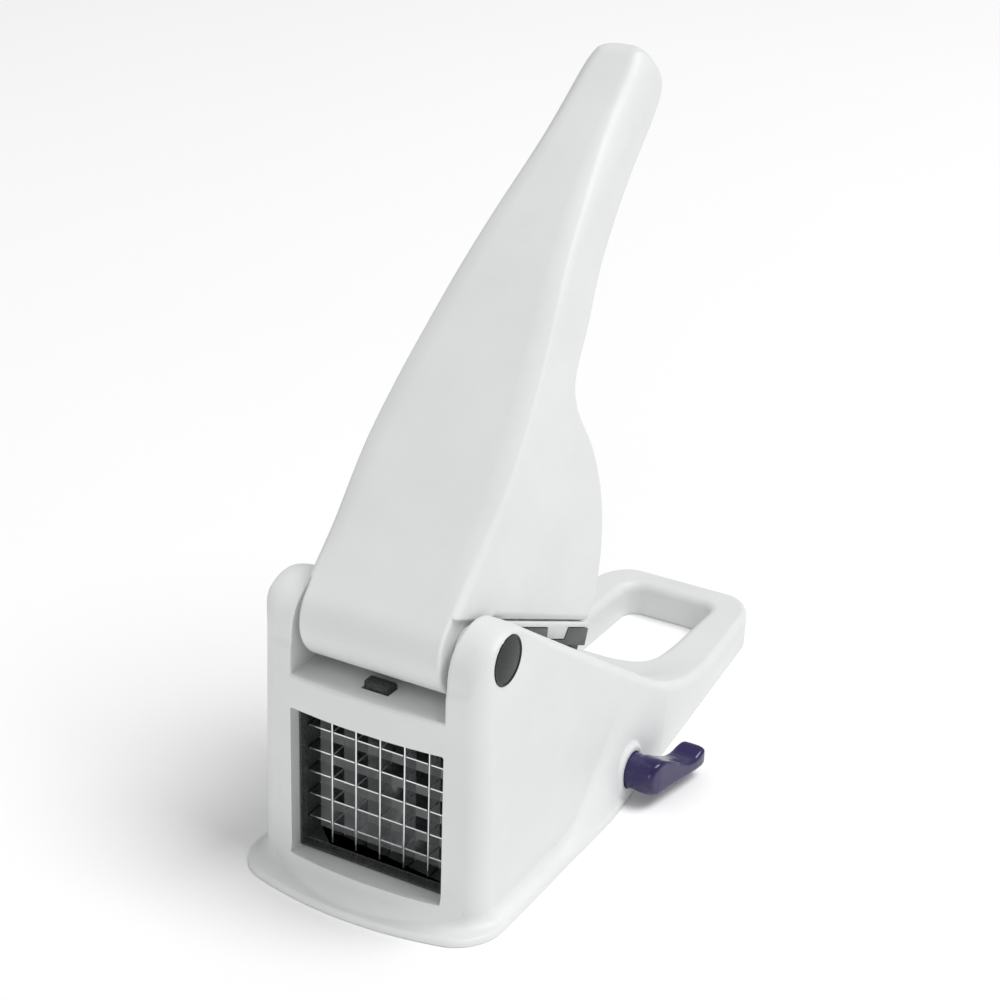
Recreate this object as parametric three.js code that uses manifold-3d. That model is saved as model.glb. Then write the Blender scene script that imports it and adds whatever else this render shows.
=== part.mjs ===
// Hand-lever vegetable dicer: a moulded stand with a blade cassette in its front window, a lever
// that swings a pegged pusher through the chamber behind the blades, and a suction foot.
//
// Millimetres, +Z up. The origin is on the table, below the lever's hinge, on the centre plane.
// The blades face -Y, the finger loop is at +Y, and the suction lever is on the +X side.
import * as THREE from "three";
import { mergeVertices } from "three/addons/utils/BufferGeometryUtils.js";
import Module from "manifold-3d";

const wasm = await Module();
wasm.setup();

// ---- Driving dimensions ----
const GAP = 0.3; // clearance between neighbouring pieces
const FAR = 400; // reach of cutting tools that pass right through
const RAD = Math.PI / 180;

const HINGE_Z = 101.7; // height of the lever's hinge axis, which runs along X at y = 0
const STROKE = 66; // degrees from the raised lever to the pusher standing at the blades

const FOOT_HALF = 52.4; // half-width of the foot at the front
const FOOT_FRONT = -33.9; // foremost point of the foot
const FOOT_STRAIGHT_Y = 74; // the foot keeps its full width up to here
const LOOP_END_Y = 236; // the sides taper down to the finger loop's end corners
const LOOP_HALF = 36.3;
const LOOP_REAR = 246.9;
const LOOP_TOP = 15.3;
const LOOP_CORNER = 19.9;
const LOOP_EDGE = 2.4; // rounding of the loop's upper edge
const HAND_HOLE = { half: 20.4, front: 160, rear: 232.3, corner: 9 };

const WALL_HALF = 45.5; // outer faces of the side walls and ears
const EAR_INNER = 31.6;
const EAR_R = 18.3;
const EAR_CENTRE = { y: 0.3, z: 95 };
const SIDE_SLOPE = 33.7; // fall of the side walls' top edge, degrees
const SLOPE_END_Y = 110; // from here the top edge eases out into the loop
const SKIN = 2.6;

const CHAMBER_HALF = 33.4;
const CHAMBER_R = 101; // the chamber's back, concentric with the hinge
const CHAMBER_FLOOR = 4;
const WINDOW = { half: 31.6, bottom: 8.3, top: 68.4 };
const LEDGE_Z = 81.5;
const FRONT_Y = -20.1; // the window's face is slightly convex
const BEZEL_BACK = -9.3;

const PITCH_X = 10.165; // blade spacing across
const PITCH_Z = 9.5; // blade spacing up
const GRID_Z = 37.9; // middle of the blade grid
const BLADES = 5; // in each direction
const BLADE = { thick: 0.6, front: -8.5, back: -1 };
const CASSETTE = { half: 33.1, bottom: 5, top: 71.4, front: -9, back: -0.5, border: 2.5, sill: 5 };

const BARREL_R = 17;
const BARREL_HALF = 28.5;
const CHEEK_HALF = 30.1;
const CHEEK_R = 99; // rear edge of the lever's cheeks, concentric with the hinge
const LEVER_SKIN = 2.6;
const AXLE_R = 4;

const PUSHER_R = 95;
const PUSHER_TOP = 36; // distance of the pusher's upper edge from the hinge
const PUSHER = { half: 30.4, face: 0.5, back: 7.2, tip: -4.5 };
const CARRIER = { front: 7.5, back: 9.4, start: 20 };
const CHEEK_EDGE = 9.7; // offset of the cheeks' lower edge from the pusher's radial plane

const CUP = { y: 93.5, r: 40, crown: 4.5 };
const SHAFT = { y: 93.5, z: 11.8, r: 4 };
const CAM = { r: 6, lift: 2.5, half: 5 };
const BOSS_FACE = 50.2; // outer face of the boss that the suction lever's stub turns in

// ---- Shape helpers ----
const solid = (geometry) => {
  const plain = geometry.index ? geometry.toNonIndexed() : geometry.clone();
  for (const name of Object.keys(plain.attributes)) if (name !== "position") plain.deleteAttribute(name);
  const merged = mergeVertices(plain, 1e-4);
  return new wasm.Manifold(
    new wasm.Mesh({
      numProp: 3,
      vertProperties: merged.attributes.position.array,
      triVerts: new Uint32Array(merged.index.array),
    }),
  );
};

const union = (...parts) => parts.reduce((a, b) => a.add(b));
const cut = (base, ...tools) => tools.reduce((a, b) => a.subtract(b), base);

const box = (x0, x1, y0, y1, z0, z1) =>
  solid(
    new THREE.BoxGeometry(x1 - x0, y1 - y0, z1 - z0)
      .translate((x0 + x1) / 2, (y0 + y1) / 2, (z0 + z1) / 2),
  );

const shapeOf = (points) => new THREE.Shape(points.map(([a, b]) => new THREE.Vector2(a, b)));

// Points are [x, y], extruded from z0 to z1.
const prismZ = (points, z0, z1) =>
  solid(
    new THREE.ExtrudeGeometry(shapeOf(points), { depth: z1 - z0, bevelEnabled: false })
      .translate(0, 0, z0),
  );

// Points are [y, z], extruded from x0 to x1.
const turnedToX = new THREE.Matrix4().makeBasis(
  new THREE.Vector3(0, 1, 0),
  new THREE.Vector3(0, 0, 1),
  new THREE.Vector3(1, 0, 0),
);
const prismX = (points, x0, x1) =>
  solid(
    new THREE.ExtrudeGeometry(shapeOf(points), { depth: x1 - x0, bevelEnabled: false })
      .applyMatrix4(turnedToX)
      .translate(x0, 0, 0),
  );

// A profile of [radius, height] points that starts and ends on the axis, turned round Z.
const turned = (profile, sides = 32) =>
  new THREE.LatheGeometry(profile.map(([r, h]) => new THREE.Vector2(r, h)), sides).rotateX(Math.PI / 2);
const lathe = (profile, x, y, sides) => solid(turned(profile, sides).translate(x, y, 0));
// The same turned round an axis along X, with heights as x.
const latheX = (profile, y, z, sides) =>
  solid(turned(profile, sides).rotateY(Math.PI / 2).translate(0, y, z));

// The same profile seen in the centre plane, for the other side's piece.
const flipped = (profile) => profile.map(([r, x]) => [r, -x]).reverse();

const rodZ = (x, y, r, z0, z1, sides) => lathe([[0, z0], [r, z0], [r, z1], [0, z1]], x, y, sides);
const rodX = (y, z, r, x0, x1, sides) => latheX([[0, x0], [r, x0], [r, x1], [0, x1]], y, z, sides);

// A closed solid through rings that all hold the same number of points, bottom ring first.
const loft = (rings) => {
  const count = rings[0].length;
  const position = rings.flat().flatMap((p) => [p.x, p.y, p.z]);
  const index = [];
  for (let r = 0; r + 1 < rings.length; r++) {
    for (let i = 0; i < count; i++) {
      const a = r * count + i;
      const b = r * count + ((i + 1) % count);
      index.push(a, b, b + count, a, b + count, a + count);
    }
  }
  const last = (rings.length - 1) * count;
  const flat = rings[0].map((p) => new THREE.Vector2(p.x, p.y));
  for (const [a, b, c] of THREE.ShapeUtils.triangulateShape(flat, [])) {
    index.push(a, c, b, last + a, last + b, last + c);
  }
  const geometry = new THREE.BufferGeometry();
  geometry.setAttribute("position", new THREE.Float32BufferAttribute(position, 3));
  geometry.setIndex(index);
  return solid(geometry);
};

const arc = (cy, cz, r, from, to, steps) =>
  Array.from({ length: steps + 1 }, (_, i) => {
    const a = (from + ((to - from) * i) / steps) * RAD;
    return [cy + r * Math.cos(a), cz + r * Math.sin(a)];
  });

const hypotLeg = (r, leg) => Math.sqrt(r * r - leg * leg);

// ---- Materials ----
const material = (color, roughness, metalness = 0) =>
  new THREE.MeshStandardMaterial({ color, roughness, metalness });
const whitePlastic = material(0xdfe3e1, 0.42);
const greyPlastic = material(0x5c6162, 0.5);
const blackPlastic = material(0x1b1d1e, 0.5);
const violetPlastic = material(0x33295f, 0.22);
const nylon = material(0xcfccc2, 0.5);
const steel = material(0xb9bdbf, 0.25, 1);
const rubber = material(0x4a4c4d, 0.8);

const dicer = new THREE.Group();
const lever = new THREE.Group(); // about the hinge, in the raised position
lever.position.z = HINGE_Z;
const pusher = new THREE.Group(); // about the hinge, drawn as it stands at the blades
pusher.rotation.x = STROKE * RAD;
lever.add(pusher);
dicer.add(lever);

const piece = (name, shape, look, parent = dicer) => {
  const { numProp, vertProperties, triVerts } = shape.getMesh();
  const position = new Float32Array((vertProperties.length / numProp) * 3);
  for (let i = 0; i < position.length / 3; i++) {
    position.set(vertProperties.subarray(i * numProp, i * numProp + 3), i * 3);
  }
  const geometry = new THREE.BufferGeometry();
  geometry.setAttribute("position", new THREE.BufferAttribute(position, 3));
  geometry.setIndex(new THREE.BufferAttribute(triVerts, 1));
  geometry.computeVertexNormals();
  const mesh = new THREE.Mesh(geometry, look);
  mesh.name = name;
  parent.add(mesh);
};

// ---- Stand ----
// Outline of the foot on the table, half by half, and the outline of the walls above it.
const footHalfAt = (y) =>
  y < FOOT_STRAIGHT_Y
    ? FOOT_HALF
    : FOOT_HALF - ((FOOT_HALF - LOOP_HALF) * (y - FOOT_STRAIGHT_Y)) / (LOOP_END_Y - FOOT_STRAIGHT_Y);
const FOOT_BOW = 0.0035; // the front edges bow forward: y grows with x squared
const WALL_BOW = 0.0021;
const FOOT_CORNER = 13;
const WALL_CORNER = 6;
const WALL_DRAFT = 0.04; // the walls are this much wider at the table than at the ears
const taper = Math.atan2(FOOT_HALF - LOOP_HALF, LOOP_END_Y - FOOT_STRAIGHT_Y);

// Right half of a plan outline, from the front's middle to the rear's middle.
const halfOutline = (frontY, bow, halfAt, corner, rearY, rearCorner) => {
  const half = halfAt(0);
  const cornerX = half - corner;
  const cornerY = frontY + bow * cornerX * cornerX + corner;
  const front = [0, 0.35, 0.7].map((t) => [t * cornerX, frontY + bow * (t * cornerX) ** 2]);
  const frontCorner = arc(cornerX, cornerY, corner, -90, 0, 5);
  const sides = [20, 50, FOOT_STRAIGHT_Y, 100, 130, 160, 190, 210].map((y) => [halfAt(y), y]);
  const rearX = halfAt(rearY - rearCorner) - rearCorner / Math.cos(taper);
  const back = arc(rearX, rearY - rearCorner, rearCorner, taper / RAD, 90, 6);
  return [...front, ...frontCorner, ...sides, ...back, [0, rearY]];
};
const mirrored = (half) => [...half, ...half.slice(1, -1).reverse().map(([x, y]) => [-x, y])];

const footOutline = mirrored(
  halfOutline(FOOT_FRONT, FOOT_BOW, footHalfAt, FOOT_CORNER, LOOP_REAR, LOOP_CORNER),
);
const wallHalfAt = (y) => Math.min(WALL_HALF, footHalfAt(y) - LOOP_EDGE);
const wallOutline = mirrored(
  halfOutline(FRONT_Y, WALL_BOW, wallHalfAt, WALL_CORNER, LOOP_REAR - LOOP_EDGE, LOOP_CORNER - LOOP_EDGE),
);

// The foot's side, from the table up: a low rim, then a slope up to the walls. The loop's bars
// keep their full width nearly to the top, where they are rounded.
const footSolid = () => {
  const heights = [0, 2.4, 4.2, 8.3, 11.5, 13.8, LOOP_TOP];
  const slopeIn = [0, 0.08, 0.5, 1, 1, 1, 1];
  const loopIn = [0, 0, 0, 0, 0.08, 0.35, 1];
  const ring = (z, k) =>
    footOutline.map(([x, y], i) => {
      const blend = THREE.MathUtils.smoothstep(y, 105, 175);
      const t = slopeIn[k] * (1 - blend) + loopIn[k] * blend;
      const [wx, wy] = wallOutline[i];
      return new THREE.Vector3(x + (wx - x) * t, y + (wy - y) * t, z);
    });
  return loft(heights.map(ring));
};

const earTopAngle = 90 - SIDE_SLOPE;
const slopeFall = Math.tan(SIDE_SLOPE * RAD);
const earEnd = arc(EAR_CENTRE.y, EAR_CENTRE.z, EAR_R, earTopAngle, earTopAngle, 1)[0];
const slopeEndZ = earEnd[1] - slopeFall * (SLOPE_END_Y - earEnd[0]);
const easeLength = (2 * (slopeEndZ - LOOP_TOP)) / slopeFall;

// Height of the walls' top edge behind the ears.
const topAt = (y) => {
  if (y < SLOPE_END_Y) return earEnd[1] - slopeFall * (y - earEnd[0]);
  const t = Math.min(y - SLOPE_END_Y, easeLength);
  return slopeEndZ - slopeFall * t * (1 - t / (2 * easeLength));
};
const topEdge = (drop, ys) => ys.map((y) => [y, topAt(y) - drop]);
const EASE_YS = [SLOPE_END_Y, 122, 134, 146, 158, 170, 182, SLOPE_END_Y + easeLength];

const wallSolid = () => {
  const side = [
    [-30, 0],
    [LOOP_REAR + 5, 0],
    [LOOP_REAR + 5, LOOP_TOP - 0.5],
    ...topEdge(0.5, EASE_YS).reverse(),
    ...arc(EAR_CENTRE.y, EAR_CENTRE.z, EAR_R, earTopAngle, 180, 12),
    [-30, EAR_CENTRE.z],
  ];
  const ring = (z) =>
    wallOutline.map(([x, y]) => new THREE.Vector3(x * (1 + WALL_DRAFT * (1 - z / EAR_CENTRE.z)), y, z));
  return prismX(side, -60, 60).intersect(loft([ring(0), ring(130)]));
};

const roundedRect = (x0, x1, y0, y1, r, steps = 4) => [
  ...arc(x1 - r, y0 + r, r, -90, 0, steps),
  ...arc(x1 - r, y1 - r, r, 0, 90, steps),
  ...arc(x0 + r, y1 - r, r, 90, 180, steps),
  ...arc(x0 + r, y0 + r, r, 180, 270, steps),
];
const handHole = (grow) =>
  roundedRect(
    -HAND_HOLE.half - grow,
    HAND_HOLE.half + grow,
    HAND_HOLE.front - grow,
    HAND_HOLE.rear + grow,
    HAND_HOLE.corner + grow,
  );

// The chamber's section: flat floor, then an arc about the hinge up to the walls' top edge.
const chamberSection = (r, floorZ, frontY) => {
  const startAngle = Math.atan2(floorZ - HINGE_Z, hypotLeg(r, HINGE_Z - floorZ)) / RAD;
  return [[frontY, floorZ], ...arc(0, HINGE_Z, r, startAngle, 0, 18), [r, 140], [frontY, 140]];
};

const screwBosses = [
  [40.2, 12],
  [40.2, 58],
  [33, 141],
].flatMap(([x, y]) => [
  [x, y],
  [-x, y],
]);
const SCREW = { r: 1.5, boss: 3.3, head: 2.9, length: 11 };
const PLATE_THICK = 1.5;

const rubberFeet = [
  ["front_left", -34, -24],
  ["front_right", 34, -24],
  ["rear_left", -29.5, 212],
  ["rear_right", 29.5, 212],
];
const FOOT_PAD = { r: 4.2, high: 1.2 };
const RIB = { x: 26, thick: 3 };

const bodyShell = () => {
  const outer = union(
    footSolid(),
    wallSolid(),
    latheX(
      [
        [0, 40],
        [24, 40],
        [24, 44],
        [17, 48],
        [10.5, BOSS_FACE],
        [0, BOSS_FACE],
      ],
      SHAFT.y,
      SHAFT.z,
      40,
    ).intersect(box(0, 60, 0, 160, 0, 60)),
  );
  const earGap = prismX([[-40, LEDGE_Z], [60, LEDGE_Z], [60, 140], [-40, 140]], -EAR_INNER, EAR_INNER);
  const chamber = prismX(chamberSection(CHAMBER_R, CHAMBER_FLOOR, 0), -CHAMBER_HALF, CHAMBER_HALF).intersect(
    box(-60, 60, -5, 130, 0, LEDGE_Z),
  );
  const aboveChamber = prismX(chamberSection(CHAMBER_R, CHAMBER_FLOOR, 0), -EAR_INNER, EAR_INNER);
  const cassettePocket = box(
    -CHAMBER_HALF,
    CHAMBER_HALF,
    BEZEL_BACK,
    1,
    CHAMBER_FLOOR,
    CASSETTE.top + GAP,
  );
  const windowHole = box(-WINDOW.half, WINDOW.half, -40, 0, WINDOW.bottom, WINDOW.top);
  const tabPocket = box(-TAB.half - 0.4, TAB.half + 0.4, TAB.front - 0.4, TAB.back + 0.4, 60, 90);

  // Hollow from below: inside the skin, outside the chamber's own wall.
  const inside = prismX(
    [[-12, -1], [LOOP_REAR + 5, -1], [LOOP_REAR + 5, LOOP_TOP - SKIN],
      ...topEdge(SKIN + 0.5, EASE_YS).reverse(),
      [55, topAt(55) - SKIN - 0.5], [55, 74], [-12, 74]],
    -60,
    60,
  );
  const insideOutline = wallOutline.map(([x, y]) => [x - Math.sign(x) * SKIN, y]);
  const hollow = cut(
    inside
      .intersect(prismZ(insideOutline, -1, 90))
      .intersect(box(-60, 60, -12, LOOP_REAR - LOOP_EDGE - SKIN, -1, 90)),
    rodX(0, HINGE_Z, CHAMBER_R + 2.2, -CHAMBER_HALF - 2.2, CHAMBER_HALF + 2.2, 96),
    prismZ(handHole(2.4), -2, 60),
  );
  const bosses = screwBosses.map(([x, y]) =>
    rodZ(x, y, SCREW.boss, PLATE_THICK + GAP, Math.min(24, topAt(y) - 1), 16),
  );
  const posts = rubberFeet.slice(2).map(([, x, y]) => rodZ(x, y, FOOT_PAD.r + 1.4, 0, LOOP_TOP - 1, 24));
  const ribs = [-1, 1].map((side) =>
    box(side * RIB.x - RIB.thick / 2, side * RIB.x + RIB.thick / 2, 84, 106, 5.4, 60).intersect(outer),
  );
  const springSeat = rodZ(0, CUP.y, 8, SPRING_SEAT_Z, 60, 24).intersect(outer);
  const skinned = cut(outer, hollow);
  const framed = union(skinned, ...bosses, ...posts, ...ribs, springSeat);
  return cut(
    framed,
    earGap,
    chamber,
    aboveChamber,
    cassettePocket,
    windowHole,
    tabPocket,
    prismZ(handHole(0), -2, 60),
    rodX(SHAFT.y, SHAFT.z, SHAFT.r + GAP, -44, 60, 24),
    rodX(SHAFT.y, SHAFT.z, STUB.r + GAP, STUB.from - GAP, 60, 32),
    rodX(0, HINGE_Z, AXLE_R + GAP, -FAR, FAR, 24),
    ...[-1, 1].map((side) =>
      rodX(
        0,
        HINGE_Z,
        CAP.r + GAP,
        side > 0 ? WALL_HALF - CAP.deep : -60,
        side > 0 ? 60 : CAP.deep - WALL_HALF,
        40,
      ),
    ),
    ...screwBosses.map(([x, y]) => rodZ(x, y, SCREW.r + 0.2, -1, SCREW.length + 2, 12)),
    ...rubberFeet.map(([, x, y]) => rodZ(x, y, FOOT_PAD.r + GAP, -1, FOOT_PAD.high + GAP, 24)),
    // room for the base plate and the suction cup
    prismZ(plateOutline(GAP), -1, PLATE_THICK + GAP),
    rodZ(0, CUP.y, CUP.r + 1, -1, 3, 48),
  );
};

// The plate that closes the underside: it follows the foot's outline from the front to behind
// the suction cup.
const PLATE = { inset: 8.5, front: -14, rear: 150 };
const plateOutline = (grow) => {
  const sides = [PLATE.front - grow, 20, FOOT_STRAIGHT_Y, 110, PLATE.rear + grow].map((y) => [
    Math.min(footHalfAt(y) - PLATE.inset, WALL_HALF - 2) + grow,
    y,
  ]);
  return [...sides, ...sides.map(([x, y]) => [-x, y]).reverse()];
};
const basePlate = () =>
  cut(
    prismZ(plateOutline(0), 0, PLATE_THICK),
    rodZ(0, CUP.y, CUP.r + 0.8, -1, 5, 48),
    ...screwBosses.map(([x, y]) => rodZ(x, y, SCREW.r + 0.3, -1, 5, 12)),
    ...screwBosses.map(([x, y]) => rodZ(x, y, SCREW.head + 0.3, -1, 1.1, 16)),
  );

const baseScrew = (x, y) =>
  lathe(
    [
      [0, 0.2],
      [SCREW.head, 0.2],
      [SCREW.head, 0.6],
      [SCREW.r, 0.9],
      [SCREW.r, SCREW.length],
      [0, SCREW.length + 1],
    ],
    x,
    y,
    14,
  );

// ---- Blade cassette ----
const verticalXs = Array.from({ length: BLADES }, (_, i) => (i - (BLADES - 1) / 2) * PITCH_X);
const horizontalZs = Array.from({ length: BLADES }, (_, i) => GRID_Z + (i - (BLADES - 1) / 2) * PITCH_Z);
const BLADE_MID = (BLADE.front + BLADE.back) / 2;
const SLOT_HALF = BLADE.thick / 2 + GAP;

// A comb with its slots cut from one edge to the middle: [along, y] points.
const comb = (start, end, slots, openEdge, closedEdge, slotEnd) => [
  [start, closedEdge],
  [end, closedEdge],
  [end, openEdge],
  ...[...slots]
    .reverse()
    .flatMap((s) => [
      [s + SLOT_HALF, openEdge],
      [s + SLOT_HALF, slotEnd],
      [s - SLOT_HALF, slotEnd],
      [s - SLOT_HALF, openEdge],
    ]),
  [start, openEdge],
];

const END_IN = 1.6; // how far the blades' ends sit in the frame
const verticalBlade = (x) => {
  const outline = comb(
    CASSETTE.bottom + CASSETTE.sill - END_IN,
    CASSETTE.top - CASSETTE.sill + END_IN,
    horizontalZs,
    BLADE.back,
    BLADE.front,
    BLADE_MID - GAP / 2,
  ).map(([z, y]) => [y, z]);
  return prismX(outline, x - BLADE.thick / 2, x + BLADE.thick / 2);
};
const horizontalBlade = (z) => {
  const end = CASSETTE.half - CASSETTE.border + END_IN;
  const outline = comb(-end, end, verticalXs, BLADE.front, BLADE.back, BLADE_MID + GAP / 2);
  return prismZ(outline, z - BLADE.thick / 2, z + BLADE.thick / 2);
};
// The frame's collar stands forward into the window, inside its reveal.
const COLLAR = { half: 31.3, side: 0.7, wall: 0.9, front: -13, bottom: 8.6, top: 68.1 };
const cassetteFrame = () => {
  const { half, bottom, top, front, back, border, sill } = CASSETTE;
  const reach = END_IN + GAP;
  const collarIn = COLLAR.half - COLLAR.side;
  const collar = cut(
    box(-COLLAR.half, COLLAR.half, COLLAR.front, front + 0.5, COLLAR.bottom, COLLAR.top),
    box(-collarIn, collarIn, -FAR, front, COLLAR.bottom + COLLAR.wall, COLLAR.top - COLLAR.wall),
  );
  return cut(
    union(box(-half, half, front, back, bottom, top), collar),
    box(border - half, half - border, -FAR, FAR, bottom + sill, top - sill),
    ...verticalXs.map((x) =>
      box(x - SLOT_HALF, x + SLOT_HALF, BLADE.front - GAP, FAR, bottom + sill - reach, top - sill + reach),
    ),
    ...horizontalZs.map((z) =>
      box(border - half - reach, half - border + reach, BLADE.front - GAP, FAR, z - SLOT_HALF, z + SLOT_HALF),
    ),
  );
};

// The catch that lets the cassette out: pressed down against a small spring.
const TAB = { half: 5.2, front: -12, back: -5.6, top: 84, bottom: 77.5 };
const tabSection = [
  [TAB.front, TAB.bottom],
  [TAB.back, TAB.bottom],
  [TAB.back, TAB.top - 1],
  [TAB.back - 1, TAB.top],
  [TAB.front + 1.4, TAB.top],
  [TAB.front, TAB.top - 1.2],
];
const releaseTab = () =>
  prismX(tabSection, -TAB.half, TAB.half).intersect(
    prismZ(
      [
        [-TAB.half, TAB.back],
        [-TAB.half, TAB.front + 1],
        [1 - TAB.half, TAB.front],
        [TAB.half - 1, TAB.front],
        [TAB.half, TAB.front + 1],
        [TAB.half, TAB.back],
      ],
      70,
      90,
    ),
  );

// A round-wire compression spring along Z, standing on z0, with its ends cut square.
const coilSpring = (x, y, z0, z1, r, wire, turns) => {
  const steps = turns * 12;
  const rise = z1 - z0 - wire;
  const points = Array.from({ length: steps + 1 }, (_, i) => {
    const a = (i / 12) * 2 * Math.PI;
    return new THREE.Vector3(x + r * Math.cos(a), y + r * Math.sin(a), z0 + wire / 2 + (rise * i) / steps);
  });
  const section = new THREE.Shape(
    Array.from({ length: 6 }, (_, i) => {
      const a = (i * Math.PI) / 3;
      return new THREE.Vector2((wire / 2) * Math.cos(a), (wire / 2) * Math.sin(a));
    }),
  );
  const path = new THREE.CatmullRomCurve3(points);
  return solid(new THREE.ExtrudeGeometry(section, { steps, extrudePath: path, bevelEnabled: false }));
};

// ---- Hinge ----
const CAP = { r: 9.3, deep: 3, dish: 1.3 };
const pivotCap = (side) => {
  const inner = WALL_HALF - CAP.deep + GAP;
  const profile = [
    [0, inner],
    [CAP.r - 0.6, inner],
    [CAP.r, inner + 0.6],
    [CAP.r, WALL_HALF - 0.6],
    [CAP.r - 0.7, WALL_HALF],
    [CAP.r - 1.6, WALL_HALF - 0.2],
    [5, WALL_HALF - CAP.dish + 0.3],
    [0, WALL_HALF - CAP.dish],
  ];
  return latheX(side > 0 ? profile : flipped(profile), 0, HINGE_Z, 40);
};
const BUSH = { inner: AXLE_R + 0.25, outer: 6, flange: 8.2, from: 21, half: 31.1 };
const axleBush = (side) => {
  const { inner, outer, flange, from, half } = BUSH;
  const ring = [
    [inner, from],
    [outer, from],
    [outer, BARREL_HALF + GAP],
    [flange, BARREL_HALF + GAP],
    [flange, half],
    [inner, half],
    [inner, from],
  ];
  return latheX(side > 0 ? ring : flipped(ring), 0, 0, 28);
};

// ---- Lever, drawn about the hinge in its raised position ----
const LEVER_ANGLE = 48; // direction of the lever's front face
const TIP_ANGLE = 39.5; // direction near the tip
const TIP_R = 10.8; // of the tip's front corner
const TIP_BACK_R = 6.5;
const BEND = { from: 120, to: 165, tip: 238 }; // distances along the front face
const frontStart = [-BARREL_R * Math.sin(LEVER_ANGLE * RAD), BARREL_R * Math.cos(LEVER_ANGLE * RAD)];
const angleAt = (s) => {
  const bent = THREE.MathUtils.clamp((s - BEND.from) / (BEND.to - BEND.from), 0, 1);
  return LEVER_ANGLE - (LEVER_ANGLE - TIP_ANGLE) * bent;
};

// The front face's line, as [y, z] at every 5 mm.
const STEP = 5;
const frontLine = [frontStart];
for (let s = 0; s + STEP <= 235; s += STEP) {
  const [y, z] = frontLine.at(-1);
  const a = angleAt(s + STEP / 2) * RAD;
  frontLine.push([y + STEP * Math.cos(a), z + STEP * Math.sin(a)]);
}
// Half-width of the front face along the lever: full at the barrel, narrow and nearly parallel
// in the grip.
const halfWidths = [
  [0, CHEEK_HALF],
  [30, 30.4],
  [58, 30.1],
  [80, 27.9],
  [105, 24.4],
  [142, 19.8],
  [162, 17.4],
  [192, 15],
  [214, 14.4],
  [225, 13.7],
  [232, 11.9],
  [236, 8.8],
  [BEND.tip, 5],
];
const halfWidthAt = (s) => {
  const next = halfWidths.findIndex(([at]) => at >= s);
  if (next <= 0) return next < 0 ? halfWidths.at(-1)[1] : halfWidths[0][1];
  const [s0, w0] = halfWidths[next - 1];
  const [s1, w1] = halfWidths[next];
  return w0 + ((w1 - w0) * (s - s0)) / (s1 - s0);
};
// The grip's back, measured down from the front face, and the neck where it opens out into the
// cheeks: [distance along, depth].
const COVER = { from: 136, to: 212, thick: 2.4 };
const backDepth = (s) => 21 + (COVER.to - s) * 0.07;
const NECK = [
  [118, 25.8],
  [109, 26],
  [103, 28],
  [98.6, 32.6],
  [95.6, 39.6],
  [93.6, 47.2],
];
const pointAlong = (s, depth) => {
  const k = Math.min(s / STEP, frontLine.length - 1);
  const i = Math.min(Math.floor(k), frontLine.length - 2);
  const a = angleAt(s) * RAD;
  const along = s - i * STEP;
  const [y, z] = frontLine[i];
  return [y + along * Math.cos(a) + depth * Math.sin(a), z + along * Math.sin(a) - depth * Math.cos(a)];
};

// A place in the pusher's frame turned to the raised lever.
const raised = ([y, z]) => [
  y * Math.cos(STROKE * RAD) - z * Math.sin(STROKE * RAD),
  y * Math.sin(STROKE * RAD) + z * Math.cos(STROKE * RAD),
];
const cheekCorner = raised([CHEEK_EDGE, -(CHEEK_R - 4.5)]);

// The lever's side view: barrel, front face, round tip, back of the grip, neck, cheeks' arc,
// cheeks' lower edge.
const leverSide = () => {
  const upFront = frontLine.filter((_, i) => i * STEP < BEND.tip - TIP_R);
  const tipCentre = pointAlong(BEND.tip - TIP_R, TIP_R);
  const backCentre = pointAlong(BEND.tip - TIP_BACK_R, backDepth(BEND.tip) - TIP_BACK_R);
  const tip = [
    ...arc(tipCentre[0], tipCentre[1], TIP_R, TIP_ANGLE + 75, TIP_ANGLE, 5),
    ...arc(backCentre[0], backCentre[1], TIP_BACK_R, TIP_ANGLE, TIP_ANGLE - 75, 4),
  ];
  const gripBack = [212, 190, 170, 152, 136].map((s) => pointAlong(s, backDepth(s)));
  const neck = NECK.map(([s, depth]) => pointAlong(s, depth));
  const rearArc = arc(0, 0, CHEEK_R - 0.7, 22, -14, 10);
  const lowerEdge = [cheekCorner, raised([CHEEK_EDGE, -14])];
  const barrel = arc(0, 0, BARREL_R, -12, -(360 - LEVER_ANGLE - 90), 26);
  return [...barrel.slice(0, -1), ...upFront, ...tip, ...gripBack, ...neck, ...rearArc, ...lowerEdge];
};

// What limits the lever's width, as a loft along the front face. shrink makes it narrower. The
// sides open out over SIDE.depth, up to the cheeks' full width or by the grip's draft.
const SIDE = { depth: 80, draft: 2.6, front: -12, back: 140 };
const widthSolid = (shrink) => {
  const stations = [-60, 0, 30, 58, 80, 105, 125, 142, 162, 192, 214, 225, 232, 236, BEND.tip + 1];
  const rings = stations.map((s) => {
    const front = Math.max(halfWidthAt(Math.max(s, 0)) - shrink, 0.5);
    const intoGrip = THREE.MathUtils.smoothstep(s, 85, 150);
    const open = THREE.MathUtils.lerp(CHEEK_HALF - shrink - front, SIDE.draft, intoGrip);
    const back = front + (open * (SIDE.back - SIDE.front)) / SIDE.depth;
    const [y, z] = frontStart;
    const [fy, fz] = s < 0 ? [y + s * 0.669 - 30, z + s * 0.743 + 27] : pointAlong(s, SIDE.front);
    const [by, bz] = s < 0 ? [y + s * 0.669 + 120, z + s * 0.743 - 108] : pointAlong(s, SIDE.back);
    return [
      new THREE.Vector3(front, fy, fz),
      new THREE.Vector3(back, by, bz),
      new THREE.Vector3(-back, by, bz),
      new THREE.Vector3(-front, fy, fz),
    ];
  });
  return loftAlong(rings);
};
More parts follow.
